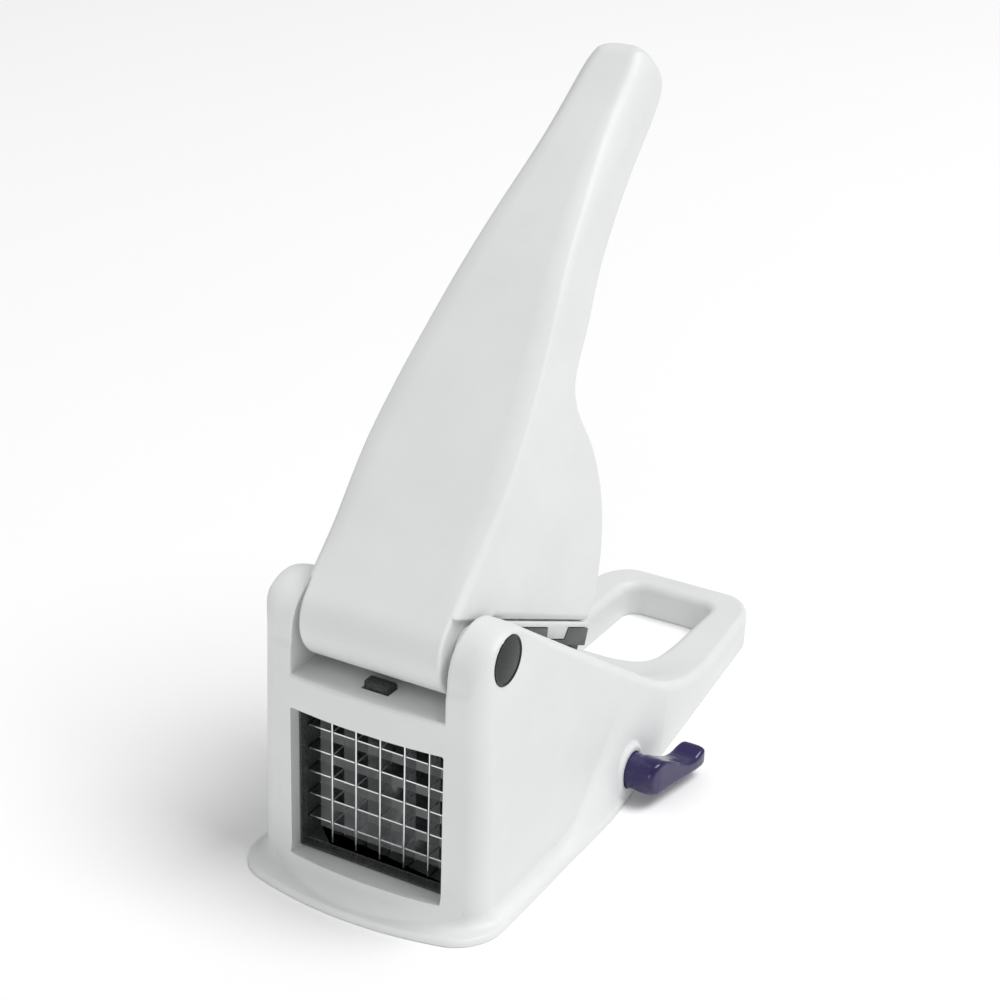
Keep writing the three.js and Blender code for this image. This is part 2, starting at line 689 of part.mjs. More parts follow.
// A loft of four-cornered rings.
const loftAlong = (rings) => {
  const index = [];
  for (let r = 0; r + 1 < rings.length; r++) {
    for (let i = 0; i < 4; i++) {
      const a = r * 4 + i;
      const b = r * 4 + ((i + 1) % 4);
      index.push(a, b, b + 4, a, b + 4, a + 4);
    }
  }
  const last = (rings.length - 1) * 4;
  index.push(0, 2, 1, 0, 3, 2, last, last + 1, last + 2, last, last + 2, last + 3);
  const geometry = new THREE.BufferGeometry();
  const position = rings.flat().flatMap((p) => [p.x, p.y, p.z]);
  geometry.setAttribute("position", new THREE.Float32BufferAttribute(position, 3));
  geometry.setIndex(index);
  return solid(geometry);
};

// A turned profile of [radius, depth] set square to the front face at distance s along it.
const latheInto = (profile, s, sides) => {
  const a = angleAt(s) * RAD;
  const [y, z] = pointAlong(s, 0);
  const basis = new THREE.Matrix4().makeBasis(
    new THREE.Vector3(1, 0, 0),
    new THREE.Vector3(0, -Math.cos(a), -Math.sin(a)),
    new THREE.Vector3(0, Math.sin(a), -Math.cos(a)),
  );
  return solid(turned(profile, sides).applyMatrix4(basis).translate(0, y, z));
};
const rodInto = (s, r, d0, d1, sides) => latheInto([[0, d0], [r, d0], [r, d1], [0, d1]], s, sides);

const coverScrewAt = [146, 202];

const leverShell = () => {
  const outer = prismX(leverSide(), -40, 40).intersect(widthSolid(0));
  const along = (from, to, depth) => {
    const count = Math.round((to - from) / 10);
    return Array.from({ length: count + 1 }, (_, i) => pointAlong(from + ((to - from) * i) / count, depth));
  };
  // The hollow between the cheeks, open at their lower edge, and the one in the grip, open at
  // its back, with a bulkhead between them.
  const cheekHollow = [
    raised([CHEEK_EDGE - 2, -23]),
    raised([CHEEK_EDGE - 2, -(CHEEK_R - 7)]),
    ...arc(0, 0, CHEEK_R - 0.7 - LEVER_SKIN, -14, 21, 10),
    pointAlong(88.8, 46.5),
    pointAlong(90.2, 37.5),
    pointAlong(92.6, 30.4),
    pointAlong(97, 24.6),
    pointAlong(110, 23),
    ...along(22, 110, 3).reverse(),
  ];
  const gripHollow = [
    ...along(114, 214, 3),
    pointAlong(COVER.to + GAP, backDepth(212) - COVER.thick - GAP),
    pointAlong(COVER.to + GAP, 60),
    pointAlong(COVER.from - GAP, 60),
    pointAlong(COVER.from - GAP, backDepth(136) - COVER.thick - GAP),
    pointAlong(114, 23),
  ];
  const inner = widthSolid(LEVER_SKIN);
  const hollowed = cut(
    outer,
    prismX(cheekHollow, -40, 40).intersect(inner),
    prismX(gripHollow, -40, 40).intersect(inner),
    // the barrel is narrower than the cheeks
    ...[-1, 1].map((side) =>
      rodX(0, 0, BARREL_R + 2, side > 0 ? BARREL_HALF : -40, side > 0 ? 40 : -BARREL_HALF, 48).intersect(
        prismX([[-30, -30], [40, -30], raised([CHEEK_EDGE, -40]), raised([CHEEK_EDGE, 40])], -40, 40),
      ),
    ),
  );
  const bosses = coverScrewAt.map((s) => rodInto(s, 3.2, 2, backDepth(s) - COVER.thick - GAP, 14));
  return cut(
    union(hollowed, ...bosses),
    rodX(0, 0, AXLE_R + GAP, -40, 40, 24),
    ...[-1, 1].map((side) =>
      rodX(0, 0, BUSH.outer + GAP, side > 0 ? BUSH.from - GAP : -40, side > 0 ? 40 : GAP - BUSH.from, 28),
    ),
    ...coverScrewAt.map((s) => rodInto(s, SCREW.r + 0.2, backDepth(s) - 13, 40, 12)),
  );
};

const leverBackCover = () => {
  const count = 8;
  const line = (drop) =>
    Array.from({ length: count + 1 }, (_, i) => {
      const s = COVER.from + ((COVER.to - COVER.from) * i) / count;
      return pointAlong(s, backDepth(s) - drop);
    });
  const sheet = prismX([...line(COVER.thick), ...line(0).reverse()], -40, 40).intersect(
    widthSolid(LEVER_SKIN + GAP),
  );
  return cut(
    sheet,
    ...coverScrewAt.map((s) => rodInto(s, SCREW.r + 0.3, 0, 40, 12)),
    ...coverScrewAt.map((s) => rodInto(s, SCREW.head + 0.2, backDepth(s) - 1.6, 40, 16)),
  );
};
const coverScrew = (s) => {
  const top = backDepth(s) - 0.2;
  return latheInto(
    [[0, top - 12], [SCREW.r, top - 11], [SCREW.r, top - 1.1], [SCREW.head - 0.1, top - 0.7],
      [SCREW.head - 0.1, top], [0, top]],
    s,
    14,
  );
};

// ---- Pusher, drawn about the hinge as it stands at the blades ----
const CLIP = { start: -59.4, end: -76.8, taper: 1.2, reach: 3, thick: 2.1 };
const clipOutline = (grow) => [
  [CARRIER.back - 0.5, CLIP.start + grow],
  [CARRIER.back - 0.5, CLIP.end - grow],
  [PUSHER.back, CLIP.end - grow],
  [CLIP.reach - grow, CLIP.end + CLIP.taper - grow],
  [CLIP.reach - grow, CLIP.start - CLIP.taper + grow],
  [PUSHER.back, CLIP.start + grow],
];
const bothSides = (outline, inner, outer) =>
  union(prismX(outline, inner, outer), prismX(outline, -outer, -inner));

const pusherCarrier = () => {
  const { front, back, start } = CARRIER;
  const flange = [
    [front, -start],
    [front, -hypotLeg(PUSHER_R, front)],
    [back, -hypotLeg(PUSHER_R, back)],
    [back, -start],
  ].reverse();
  const sideRib = [
    [back - 0.5, -34],
    [back - 0.5, -84],
    [18, -84],
    [24, -76],
    [24, -44],
    [18, -34],
  ].reverse();
  return union(
    prismX(flange, -CHEEK_HALF, CHEEK_HALF),
    bothSides(sideRib, 23.8, 26.4),
    box(-24.5, 24.5, back - 0.5, 20, -58.2, -55.8),
    box(-24.5, 24.5, back - 0.5, 20, -78.2, -75.8),
    bothSides(clipOutline(0), CHEEK_HALF - CLIP.thick, CHEEK_HALF),
  );
};

const PEG = { half: 4.1, halfHigh: 3.7 };
const pusherPlate = () => {
  const { half, face, back, tip } = PUSHER;
  const rim = [face, (face + back) / 2, back].map((y) => [y, -hypotLeg(PUSHER_R, y)]);
  const plate = prismX([...rim, [back, -PUSHER_TOP], [face, -PUSHER_TOP]], -half, half);
  const pegs = [];
  for (let column = 0; column <= BLADES; column++) {
    const x = (column - BLADES / 2) * PITCH_X;
    for (let row = 0; row <= BLADES; row++) {
      const z = GRID_Z - HINGE_Z + (row - BLADES / 2) * PITCH_Z;
      pegs.push(box(x - PEG.half, x + PEG.half, tip, face + 0.5, z - PEG.halfHigh, z + PEG.halfHigh));
    }
  }
  return cut(union(plate, ...pegs), bothSides(clipOutline(GAP), CHEEK_HALF - CLIP.thick - GAP, 40));
};

// ---- Suction foot ----
const STUB = { r: 7.2, from: 46, to: 58 };
const suctionLever = () => {
  const { y, z } = SHAFT;
  const side = [
    ...arc(y, z, STUB.r, 60, 250, 14),
    [y + 6, 5.2],
    [122.5, 4.4],
    [124.8, 5.6],
    [125.2, 10.9],
    [123.7, 12.1],
    [120, 11.4],
    [116.5, 10.2],
    [112, 10.6],
    [107, 12.7],
    [102, 15.6],
  ];
  const plan = [
    [54, y - 8],
    [60.8, y - 8],
    [62.9, y - 3],
    [64, y + 4],
    [68.1, 121],
    [66.6, 125],
    [58.5, 125.4],
    [56.8, 123.6],
    [55, 114],
    [54, 103],
  ];
  const arm = prismX(side, 54, 70).intersect(prismZ(plan, 0, 30));
  return cut(
    union(rodX(y, z, STUB.r, STUB.from, STUB.to, 32), arm),
    rodX(y, z, SHAFT.r + GAP, 40, STUB.to + GAP, 24),
  );
};

const camShaft = () =>
  union(
    rodX(SHAFT.y, SHAFT.z, SHAFT.r, -43, STUB.to, 24),
    rodX(SHAFT.y, SHAFT.z + CAM.lift, CAM.r, -CAM.half, CAM.half, 32),
  );
const shaftClip = () =>
  latheX(
    [[SHAFT.r + GAP, -29.2], [6.2, -29.2], [6.2, -28], [SHAFT.r + GAP, -28], [SHAFT.r + GAP, -29.2]],
    SHAFT.y,
    SHAFT.z,
    24,
  );

const SPRING_SEAT_Z = 41;
const YOKE = { foot: 4.8, footTop: 6.3, bridge: 21.3, top: 24, inner: 6.2, outer: 8.8, half: 5.5 };
const suctionYoke = () => {
  const { foot, footTop, bridge, top, inner, outer, half } = YOKE;
  const y0 = CUP.y - half;
  const y1 = CUP.y + half;
  const frame = union(
    rodZ(0, CUP.y, 12, foot, footTop, 32),
    box(-outer, outer, y0, y1, bridge, top),
    box(inner, outer, y0, y1, foot, top),
    box(-outer, -inner, y0, y1, foot, top),
    rodZ(0, CUP.y, 3, top - 0.5, top + 4, 16),
  );
  return cut(frame, box(-FAR, FAR, SHAFT.y - 4.6, SHAFT.y + 4.6, footTop, 19));
};
const suctionCup = () =>
  lathe(
    [
      [0, 3],
      [12, 3],
      [34, 1],
      [37.5, 0],
      [CUP.r, 0],
      [CUP.r, 1.6],
      [36, 2.6],
      [12, CUP.crown],
      [0, CUP.crown],
    ],
    0,
    CUP.y,
    48,
  );

// ---- Assembly ----
piece("body_shell", bodyShell(), whitePlastic);
piece("base_plate", basePlate(), whitePlastic);
screwBosses.forEach(([x, y], i) => piece(`base_screw_${i + 1}`, baseScrew(x, y), steel));
for (const [place, x, y] of rubberFeet) {
  piece(`rubber_foot_${place}`, rodZ(x, y, FOOT_PAD.r, 0, FOOT_PAD.high, 24), rubber);
}

piece("cassette_frame", cassetteFrame(), blackPlastic);
verticalXs.forEach((x, i) => piece(`blade_vertical_${i + 1}`, verticalBlade(x), steel));
horizontalZs.forEach((z, i) => piece(`blade_horizontal_${i + 1}`, horizontalBlade(z), steel));
piece("release_tab", releaseTab(), blackPlastic);
piece(
  "release_tab_spring",
  coilSpring(0, (TAB.front + TAB.back) / 2, CASSETTE.top + GAP, TAB.bottom - GAP, 2, 0.7, 4),
  steel,
);

piece("pivot_axle", rodX(0, HINGE_Z, AXLE_R, -42.2, 42.2, 24), steel);
piece("pivot_cap_left", pivotCap(-1), greyPlastic);
piece("pivot_cap_right", pivotCap(1), greyPlastic);

piece("lever_shell", leverShell(), whitePlastic, lever);
piece("lever_back_cover", leverBackCover(), whitePlastic, lever);
coverScrewAt.forEach((s, i) => piece(`cover_screw_${i + 1}`, coverScrew(s), steel, lever));
piece("axle_bush_left", axleBush(-1), nylon, lever);
piece("axle_bush_right", axleBush(1), nylon, lever);
piece("pusher_carrier", pusherCarrier(), whitePlastic, pusher);
piece("pusher_plate", pusherPlate(), greyPlastic, pusher);

piece("suction_lever", suctionLever(), violetPlastic);
piece("cam_shaft", camShaft(), nylon);
piece("shaft_clip", shaftClip(), steel);
piece("suction_yoke", suctionYoke(), nylon);
piece("suction_spring", coilSpring(0, CUP.y, YOKE.top + GAP, SPRING_SEAT_Z - GAP, 5, 1.2, 5), steel);
piece("suction_cup", suctionCup(), rubber);

export default dicer;
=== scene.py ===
"""Hand-lever vegetable dicer with a blade cassette, a pegged pusher and a suction foot.

Lengths in the shape code are millimetres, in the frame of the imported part: the origin is on the
table below the lever's hinge, +Z is up, the blades face -Y and the suction lever is on +X.
"""

import math

import bmesh
import bpy
import numpy as np
from mathutils import Matrix, Vector


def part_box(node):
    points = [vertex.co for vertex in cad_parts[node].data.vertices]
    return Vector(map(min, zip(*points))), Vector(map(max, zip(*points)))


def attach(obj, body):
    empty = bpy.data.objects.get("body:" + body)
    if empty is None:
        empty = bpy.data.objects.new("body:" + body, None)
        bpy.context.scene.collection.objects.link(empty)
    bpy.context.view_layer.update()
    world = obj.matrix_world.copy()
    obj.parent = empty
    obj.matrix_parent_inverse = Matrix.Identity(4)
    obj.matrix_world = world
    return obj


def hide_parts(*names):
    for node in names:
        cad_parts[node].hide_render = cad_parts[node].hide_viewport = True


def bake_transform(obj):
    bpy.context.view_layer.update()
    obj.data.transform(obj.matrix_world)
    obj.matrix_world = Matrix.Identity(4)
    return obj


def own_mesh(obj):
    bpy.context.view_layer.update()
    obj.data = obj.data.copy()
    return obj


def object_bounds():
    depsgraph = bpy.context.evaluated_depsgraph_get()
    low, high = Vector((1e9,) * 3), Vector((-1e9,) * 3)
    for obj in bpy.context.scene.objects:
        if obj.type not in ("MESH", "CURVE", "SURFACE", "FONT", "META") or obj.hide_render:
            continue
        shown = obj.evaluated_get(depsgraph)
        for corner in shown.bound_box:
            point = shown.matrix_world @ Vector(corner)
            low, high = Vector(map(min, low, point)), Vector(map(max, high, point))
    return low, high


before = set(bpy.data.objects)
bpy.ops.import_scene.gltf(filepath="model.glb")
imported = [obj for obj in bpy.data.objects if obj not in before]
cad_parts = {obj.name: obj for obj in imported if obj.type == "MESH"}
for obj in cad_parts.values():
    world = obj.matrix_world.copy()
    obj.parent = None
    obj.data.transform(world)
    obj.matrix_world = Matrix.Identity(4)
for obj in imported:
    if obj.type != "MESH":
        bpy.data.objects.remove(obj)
cad_low, cad_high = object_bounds()
MM = 0.001

# ---------------------------------------------------------------------------------------------
# Distance fields: negative inside, millimetres
# ---------------------------------------------------------------------------------------------


def smoothstep(value, start, end):
    t = np.clip((value - start) / (end - start), 0, 1)
    return t * t * (3 - 2 * t)


def both(a, b, radius):
    """Intersection whose convex edge is rounded."""
    return np.minimum(np.maximum(a, b), -radius) + np.hypot(
        np.maximum(a + radius, 0), np.maximum(b + radius, 0)
    )


def both_wide(a, b, radius_a, radius_b):
    """Intersection whose edge is rounded over radius_a along one face and radius_b along the other."""
    u = np.maximum(a / radius_a + 1, 0)
    v = np.maximum(b / radius_b + 1, 0)
    scale = (u * radius_a + v * radius_b) / np.maximum(u + v, 1e-6)
    return np.where((u > 0) & (v > 0), (np.hypot(u, v) - 1) * scale, np.maximum(a, b))


def either(a, b, radius):
    """Union whose concave edge is filleted."""
    return np.maximum(np.minimum(a, b), radius) - np.hypot(
        np.maximum(radius - a, 0), np.maximum(radius - b, 0)
    )


def without(a, b, radius=0.0):
    return both(a, -b, radius) if radius else np.maximum(a, -b)


def slab(value, low, high):
    return np.maximum(low - value, value - high)


def block(x, y, z, box):
    (x0, x1), (y0, y1), (z0, z1) = box
    return np.maximum(np.maximum(slab(x, x0, x1), slab(y, y0, y1)), slab(z, z0, z1))


def softened(points, rounds=2):
    """A closed outline with its corners cut, round by round."""
    points = np.array(points, float)
    for _ in range(rounds):
        after = np.roll(points, -1, axis=0)
        points = np.stack([points * 0.75 + after * 0.25, points * 0.25 + after * 0.75], 1).reshape(-1, 2)
    return points


def outline_distance(points):
    """Signed distance in the plane to a closed outline."""
    starts = np.array(points, float)
    ends = np.roll(starts, -1, axis=0)

    def distance(u, v):
        nearest = np.float32(1e12)
        sign = np.float32(1)
        for (u0, v0), (u1, v1) in zip(starts, ends):
            along_u, along_v = u1 - u0, v1 - v0
            du, dv = u - u0, v - v0
            t = np.clip((du * along_u + dv * along_v) / (along_u**2 + along_v**2), 0, 1)
            nearest = np.minimum(nearest, (du - t * along_u) ** 2 + (dv - t * along_v) ** 2)
            above, below = v >= v0, v < v1
            left = along_u * dv > along_v * du
            flips = (above & below & left) | ~(above | below | left)
            sign = np.where(flips, -sign, sign)
        return sign * np.sqrt(nearest)

    return distance


# ---------------------------------------------------------------------------------------------
# Meshes
# ---------------------------------------------------------------------------------------------

QUAD_AROUND = {0: (1, 2), 1: (2, 0), 2: (0, 1)}  # the other two axes, in turning order
GRADIENT_REACH = 0.03
ROOT_ROUNDS = 3
ROOT_LOW, ROOT_HIGH = 0.03, 0.97  # a guess on a grid edge stays between these shares of what is left
GRID_BEFORE, GRID_AFTER = 1.37, 2.2  # steps that the grid reaches past a piece's box
PULL_TO_MIDDLE = 0.03  # keeps a vertex near its crossings where the surface is flat
SHADED_WITHIN = math.cos(math.radians(18))  # a vertex normal this near the face's own is kept
TOWARD_VERTEX, TOWARD_CENTRE = 0.6, 0.4  # where a face is sampled for its corners' normals
SAME_SIDE, SAME_NORMAL = 0.5, 0.97  # cosines
MOST_TRIANGLES = 190000
MERGE_DISTANCE = 0.02
FLAT_ANGLE, BEVEL_ANGLE = math.radians(1), math.radians(35)
TURNED_SMOOTH = 40  # degrees


def gradient(field, points):
    """Unit outward directions of a field at points, from four evaluations."""
    corners = np.array([[1, -1, -1], [-1, -1, 1], [-1, 1, -1], [1, 1, 1]], float)
    total = np.zeros_like(points)
    for corner in corners:
        at = points + corner * GRADIENT_REACH
        total += corner * field(at[:, 0], at[:, 1], at[:, 2])[:, None]
    return total / np.maximum(np.linalg.norm(total, axis=1, keepdims=True), 1e-9)


def crossings(field, axes, values):
    """Points where the grid's edges pass through the surface, by axis."""
    inside = values < 0
    found = []
    for axis in range(3):
        low = [slice(None)] * 3
        high = [slice(None)] * 3
        low[axis] = slice(None, -1)
        high[axis] = slice(1, None)
        low, high = tuple(low), tuple(high)
        cell = np.argwhere(inside[low] != inside[high])
        i, j, k = cell.T
        start = np.stack([axes[0][i], axes[1][j], axes[2][k]], 1)
        length = axes[axis][1] - axes[axis][0]
        f0 = values[low][i, j, k].astype(float)
        f1 = values[high][i, j, k].astype(float)
        leaving = f0 < 0
        t0, t1 = np.zeros(len(cell)), np.ones(len(cell))
        for _ in range(ROOT_ROUNDS):
            t = t0 + (t1 - t0) * np.clip(f0 / (f0 - f1), ROOT_LOW, ROOT_HIGH)
            at = start.copy()
            at[:, axis] += t * length
            f = field(at[:, 0], at[:, 1], at[:, 2])
            same = (f < 0) == (f0 < 0)
            t0, f0 = np.where(same, t, t0), np.where(same, f, f0)
            t1, f1 = np.where(same, t1, t), np.where(same, f1, f)
        at = start.copy()
        share = np.clip(f0 / np.where(f0 == f1, 1, f0 - f1), 0, 1)
        at[:, axis] += (t0 + (t1 - t0) * share) * length
        found.append((cell, at, leaving))
    return found


def contour(field, low, high, step):
    """Dual contouring: vertices at the meeting point of the surface's planes in each cell, and quads."""
    axes = [np.arange(low[a] - GRID_BEFORE * step, high[a] + GRID_AFTER * step, step) for a in range(3)]
    single = [a.astype(np.float32) for a in axes]
    shape = tuple(len(a) for a in axes)
    values = field(single[0][:, None, None], single[1][None, :, None], single[2][None, None, :])
    values = np.broadcast_to(values, shape)
    found = crossings(field, axes, values)
    ids, points = [], []
    for axis, (cell, at, _) in enumerate(found):
        b, c = QUAD_AROUND[axis]
        around = []
        for db, dc in ((-1, -1), (0, -1), (0, 0), (-1, 0)):
            neighbour = cell.copy()
            neighbour[:, b] += db
            neighbour[:, c] += dc
            around.append(np.ravel_multi_index(neighbour.T, shape))
        ids.append(np.stack(around, 1))
        points.append(at)
    ids, points = np.concatenate(ids), np.concatenate(points)
    normals = gradient(field, points)
    cells, flat = np.unique(ids.ravel(), return_inverse=True)
    flat = flat.reshape(-1)
    quads = flat.reshape(-1, 4)
    leaving = np.concatenate([f[2] for f in found])
    quads = np.where(leaving[:, None], quads, quads[:, ::-1])

    def per_cell(weights):
        return np.bincount(flat, np.repeat(weights, 4), len(cells))

    count = np.bincount(flat, minlength=len(cells))
    middle = np.stack([per_cell(points[:, a]) / count for a in range(3)], 1)
    matrix = np.zeros((len(cells), 3, 3))
    reach = np.einsum("ij,ij->i", normals, points)
    side = np.zeros((len(cells), 3))
    for a in range(3):
        side[:, a] = per_cell(normals[:, a] * reach)
        for b in range(3):
            matrix[:, a, b] = per_cell(normals[:, a] * normals[:, b])
    side -= np.einsum("nab,nb->na", matrix, middle)
    matrix += np.eye(3) * (PULL_TO_MIDDLE * count)[:, None, None]
    vertices = middle + np.linalg.solve(matrix, side[:, :, None])[:, :, 0]
    corner = np.stack(np.unravel_index(cells, shape), 1)
    cell_low = np.stack([axes[a][corner[:, a]] for a in range(3)], 1)
    return np.clip(vertices, cell_low, cell_low + step), quads


def shade_by_field(mesh, field):
    """Split normals from the field: smooth over rounded edges, crisp at true corners."""
    count = len(mesh.vertices)
    at = np.empty(count * 3)
    mesh.vertices.foreach_get("co", at)
    at = at.reshape(-1, 3) / MM
    vertex_normals = gradient(field, at)
    corner_vertex = np.empty(len(mesh.loops), np.int64)
    mesh.loops.foreach_get("vertex_index", corner_vertex)
    sizes = np.empty(len(mesh.polygons), np.int64)
    mesh.polygons.foreach_get("loop_total", sizes)
    centres = np.empty(len(mesh.polygons) * 3)
    mesh.polygons.foreach_get("center", centres)
    flats = np.empty(len(mesh.polygons) * 3)
    mesh.polygons.foreach_get("normal", flats)
    face = np.repeat(np.arange(len(sizes)), sizes)
    centres, flats = centres.reshape(-1, 3)[face] / MM, flats.reshape(-1, 3)[face]
    normals = vertex_normals[corner_vertex]
    off = np.einsum("ij,ij->i", normals, flats) < SHADED_WITHIN
    inner = at[corner_vertex[off]] * TOWARD_VERTEX + centres[off] * TOWARD_CENTRE
    inner_normals = gradient(field, inner)
    agree = np.einsum("ij,ij->i", inner_normals, flats[off])
    steady = np.einsum("ij,ij->i", inner_normals, normals[off]) > SAME_NORMAL
    inner_normals = np.where((agree > SAME_SIDE)[:, None], inner_normals, flats[off])
    normals[off] = np.where(steady[:, None], normals[off], inner_normals)
    mesh.normals_split_custom_set(normals.tolist())


def moulded(name, field, low, high, step):
    """A piece from a distance field, contoured on a grid of that step and thinned if it is heavy."""
    vertices, quads = contour(field, low, high, step)
    vertices = np.clip(vertices * MM, np.array(cad_low), np.array(cad_high))
    mesh = bpy.data.meshes.new(name)
    mesh.from_pydata(vertices.tolist(), [], quads.tolist())
    piece = bpy.data.objects.new(name, mesh)
    bpy.context.collection.objects.link(piece)
    if 2 * len(quads) > MOST_TRIANGLES:
        thin = piece.modifiers.new("thin", "DECIMATE")
        thin.ratio = MOST_TRIANGLES / (2 * len(quads))
        applied(piece)
    shade_by_field(piece.data, field)
    return piece


def applied(piece):
    """Replaces a piece's mesh by what its modifiers make."""
    bpy.context.view_layer.update()
    graph = bpy.context.evaluated_depsgraph_get()
    made = bpy.data.meshes.new_from_object(piece.evaluated_get(graph))
    piece.modifiers.clear()
    old = piece.data
    made.name = old.name + "_made"
    piece.data = made
    bpy.data.meshes.remove(old)


def smooth_by_angle(mesh, degrees):
    mesh.shade_smooth()
    mesh.set_sharp_from_angle(angle=math.radians(degrees))


def turned(name, profile, centre, sides=96):
    """A solid disc from a [radius, x] profile round the X axis; radius 0 closes on the axis."""
    along, across, up = Vector((1, 0, 0)), Vector((0, 1, 0)), Vector((0, 0, 1))
    work = bmesh.new()
    rings = []
    for radius, x in profile:
        base = Vector(centre) + along * x
        if radius == 0:
            rings.append([work.verts.new(base * MM)])
            continue
        ring = []
        for i in range(sides):
            a = 2 * math.pi * i / sides
            out = across * math.cos(a) + up * math.sin(a)
            ring.append(work.verts.new((base + out * radius) * MM))
        rings.append(ring)
    for first, second in zip(rings, rings[1:]):
        for i in range(sides):
            j = (i + 1) % sides
            corners = [first[i % len(first)], first[j % len(first)]]
            corners += [second[j % len(second)], second[i % len(second)]]
            unique = list(dict.fromkeys(corners))
            if len(unique) > 2:
                work.faces.new(unique)
    bmesh.ops.recalc_face_normals(work, faces=work.faces)
    mesh = bpy.data.meshes.new(name)
    work.to_mesh(mesh)
    work.free()
    smooth_by_angle(mesh, TURNED_SMOOTH)
    piece = bpy.data.objects.new(name, mesh)
    bpy.context.collection.objects.link(piece)
    return piece


def refined(node, width, segments=2, smooth_to=50):
    """A copy of a CAD node with its flat faces joined up and its edges rounded, if width says so."""
    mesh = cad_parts[node].data.copy()
    mesh.materials.clear()
    if mesh.has_custom_normals:
        mesh.normals_split_custom_set([(0, 0, 0)] * len(mesh.loops))
    work = bmesh.new()
    work.from_mesh(mesh)
    bmesh.ops.remove_doubles(work, verts=work.verts, dist=MERGE_DISTANCE * MM)
    bmesh.ops.dissolve_limit(
        work, angle_limit=FLAT_ANGLE, verts=work.verts, edges=work.edges, delimit=set()
    )
    work.to_mesh(mesh)
    work.free()
    piece = bpy.data.objects.new(node + "_finished", mesh)
    bpy.context.collection.objects.link(piece)
    if width:
        bevel = piece.modifiers.new("edges", "BEVEL")
        bevel.width = width * MM
        bevel.segments = segments
        bevel.limit_method = "ANGLE"
        bevel.angle_limit = BEVEL_ANGLE
        bevel.use_clamp_overlap = True
        applied(piece)
    smooth_by_angle(piece.data, smooth_to)
    return piece


# ---------------------------------------------------------------------------------------------
# The stand's shell
# ---------------------------------------------------------------------------------------------

SHELL_STEP = 0.95
HINGE_Z = 101.7
FOOT_HALF, FOOT_FRONT, FOOT_BOW, FOOT_CORNER = 52.4, -33.9, 0.0035, 13
FOOT_STRAIGHT_Y, LOOP_END_Y, LOOP_HALF = 74, 236, 36.3
TAPER = (FOOT_HALF - LOOP_HALF) / (LOOP_END_Y - FOOT_STRAIGHT_Y)
LOOP_REAR, LOOP_TOP, LOOP_CORNER = 246.9, 15.3, 19.9
WALL_HALF, WALL_FRONT, WALL_BOW, WALL_DRAFT, WALL_CORNER = 45.5, -20.1, 0.0021, 0.04, 6.5
EAR_INNER, EAR_Y, EAR_Z, EAR_R = 31.6, 0.3, 95, 18.3
EAR_CURVE = 0.12  # bow of the ears' front edge below their round tops
SLOPE = math.radians(33.7)
SLOPE_END_Y = 110
SKIN = 2.8
CHAMBER_HALF, CHAMBER_R, CHAMBER_FLOOR, CHAMBER_WALL = 33.4, 101, 4, 2.2
WINDOW_HALF, WINDOW_LOW, WINDOW_HIGH, WINDOW_CORNER, LEDGE_Z = 31.6, 8.3, 68.4, 0.9, 81.5
CASSETTE_POCKET = ((-CHAMBER_HALF, CHAMBER_HALF), (-9.3, 1), (CHAMBER_FLOOR, 71.7))
TAB_HOLE = ((-5.6, 5.6), (-12.4, -5.2), (60, 90))
CRISP_EDGE = 0.1
RIM_Z, RIM_EDGE, RIM_INSET, RIM_SPREAD = 2.5, 1.6, 3.2, 1.2
RAMP_SIDE_FROM, RAMP_SIDE_ALONG = (46.2, -12.4), (23, 15.7)  # from the wall's corner, over the foot
RAMP_SIDE_LENGTH = 27.85
RAMP_WALL_HALF, RAMP_CORNER, RAMP_EASE = 47, 9, 0.15
RAMP_FALL, RAMP_FALL_FROM, RAMP_FALL_TO = 0.85, 33, 46  # share that it loses toward the walls' corners
FLANK_FOOT_Z, FLANK_EDGE, FLANK_CREASE = 2.4, 2.2, 0.8
FLANK_DROP, FLANK_DROP_FROM, FLANK_DROP_TO = 4, 34, 62  # lowers it in front, where the flange is
SKIRT_STEEPEST, SKIRT_FROM, SKIRT_TO = 1.2, 52, 74
FOOT_FILLET_REAR, FOOT_FILLET_MORE, FOOT_FILLET_FROM, FOOT_FILLET_TO = 0.7, 3.1, 15, 62
DISH_DEPTH, DISH_FROM, DISH_TO = 5.2, 23, 39
HOLE_HALF, HOLE_FRONT, HOLE_REAR, HOLE_EDGE, HOLE_WALL = 20.7, 158.6, 232.4, 4.2, 2.4
HOLE_FRONT_CORNER, HOLE_REAR_CORNER = 15, 7.5
INNER_FRONT, INNER_REAR, INNER_CORNER = -12, 241.8, 14
CEILING_FRONT, CEILING_FRONT_TO = 74, 55  # the inner ceiling's height beside the chamber, and how far back
RIB_X, RIB_Y, RIB_LOW = (24.5, 27.5), (84, 106), 5.4
SPRING_SEAT_R, SPRING_SEAT_Z = 8, 41
SHAFT_Y, SHAFT_Z, SHAFT_BORE = 93.5, 11.8, 4.3
COLLAR_R, COLLAR_FROM, COLLAR_TO, COLLAR_EDGE, COLLAR_FILLET = 10.2, 40, 50.2, 1.4, 1.6
STUB_BORE, STUB_FROM, STUB_WALL = 7.5, 45.7, 9.6
CAP_BORE, CAP_FROM = 8.9, 42.5
CUP_BORE, CUP_DEEP = 41, 3
PLATE_INSET, PLATE_FRONT, PLATE_REAR, PLATE_THICK, PLATE_GAP = 8.5, -14, 150, 1.5, 0.3
SCREWS = [(40.2, 12), (40.2, 58), (33, 141)]
POST_R, POST_TO, SCREW_BORE, SCREW_DEEP = 3.3, 26, 1.7, 13
PADS = [(34, -24), (29.5, 212)]
PAD_BORE, PAD_WALL = 4.5, 5.6

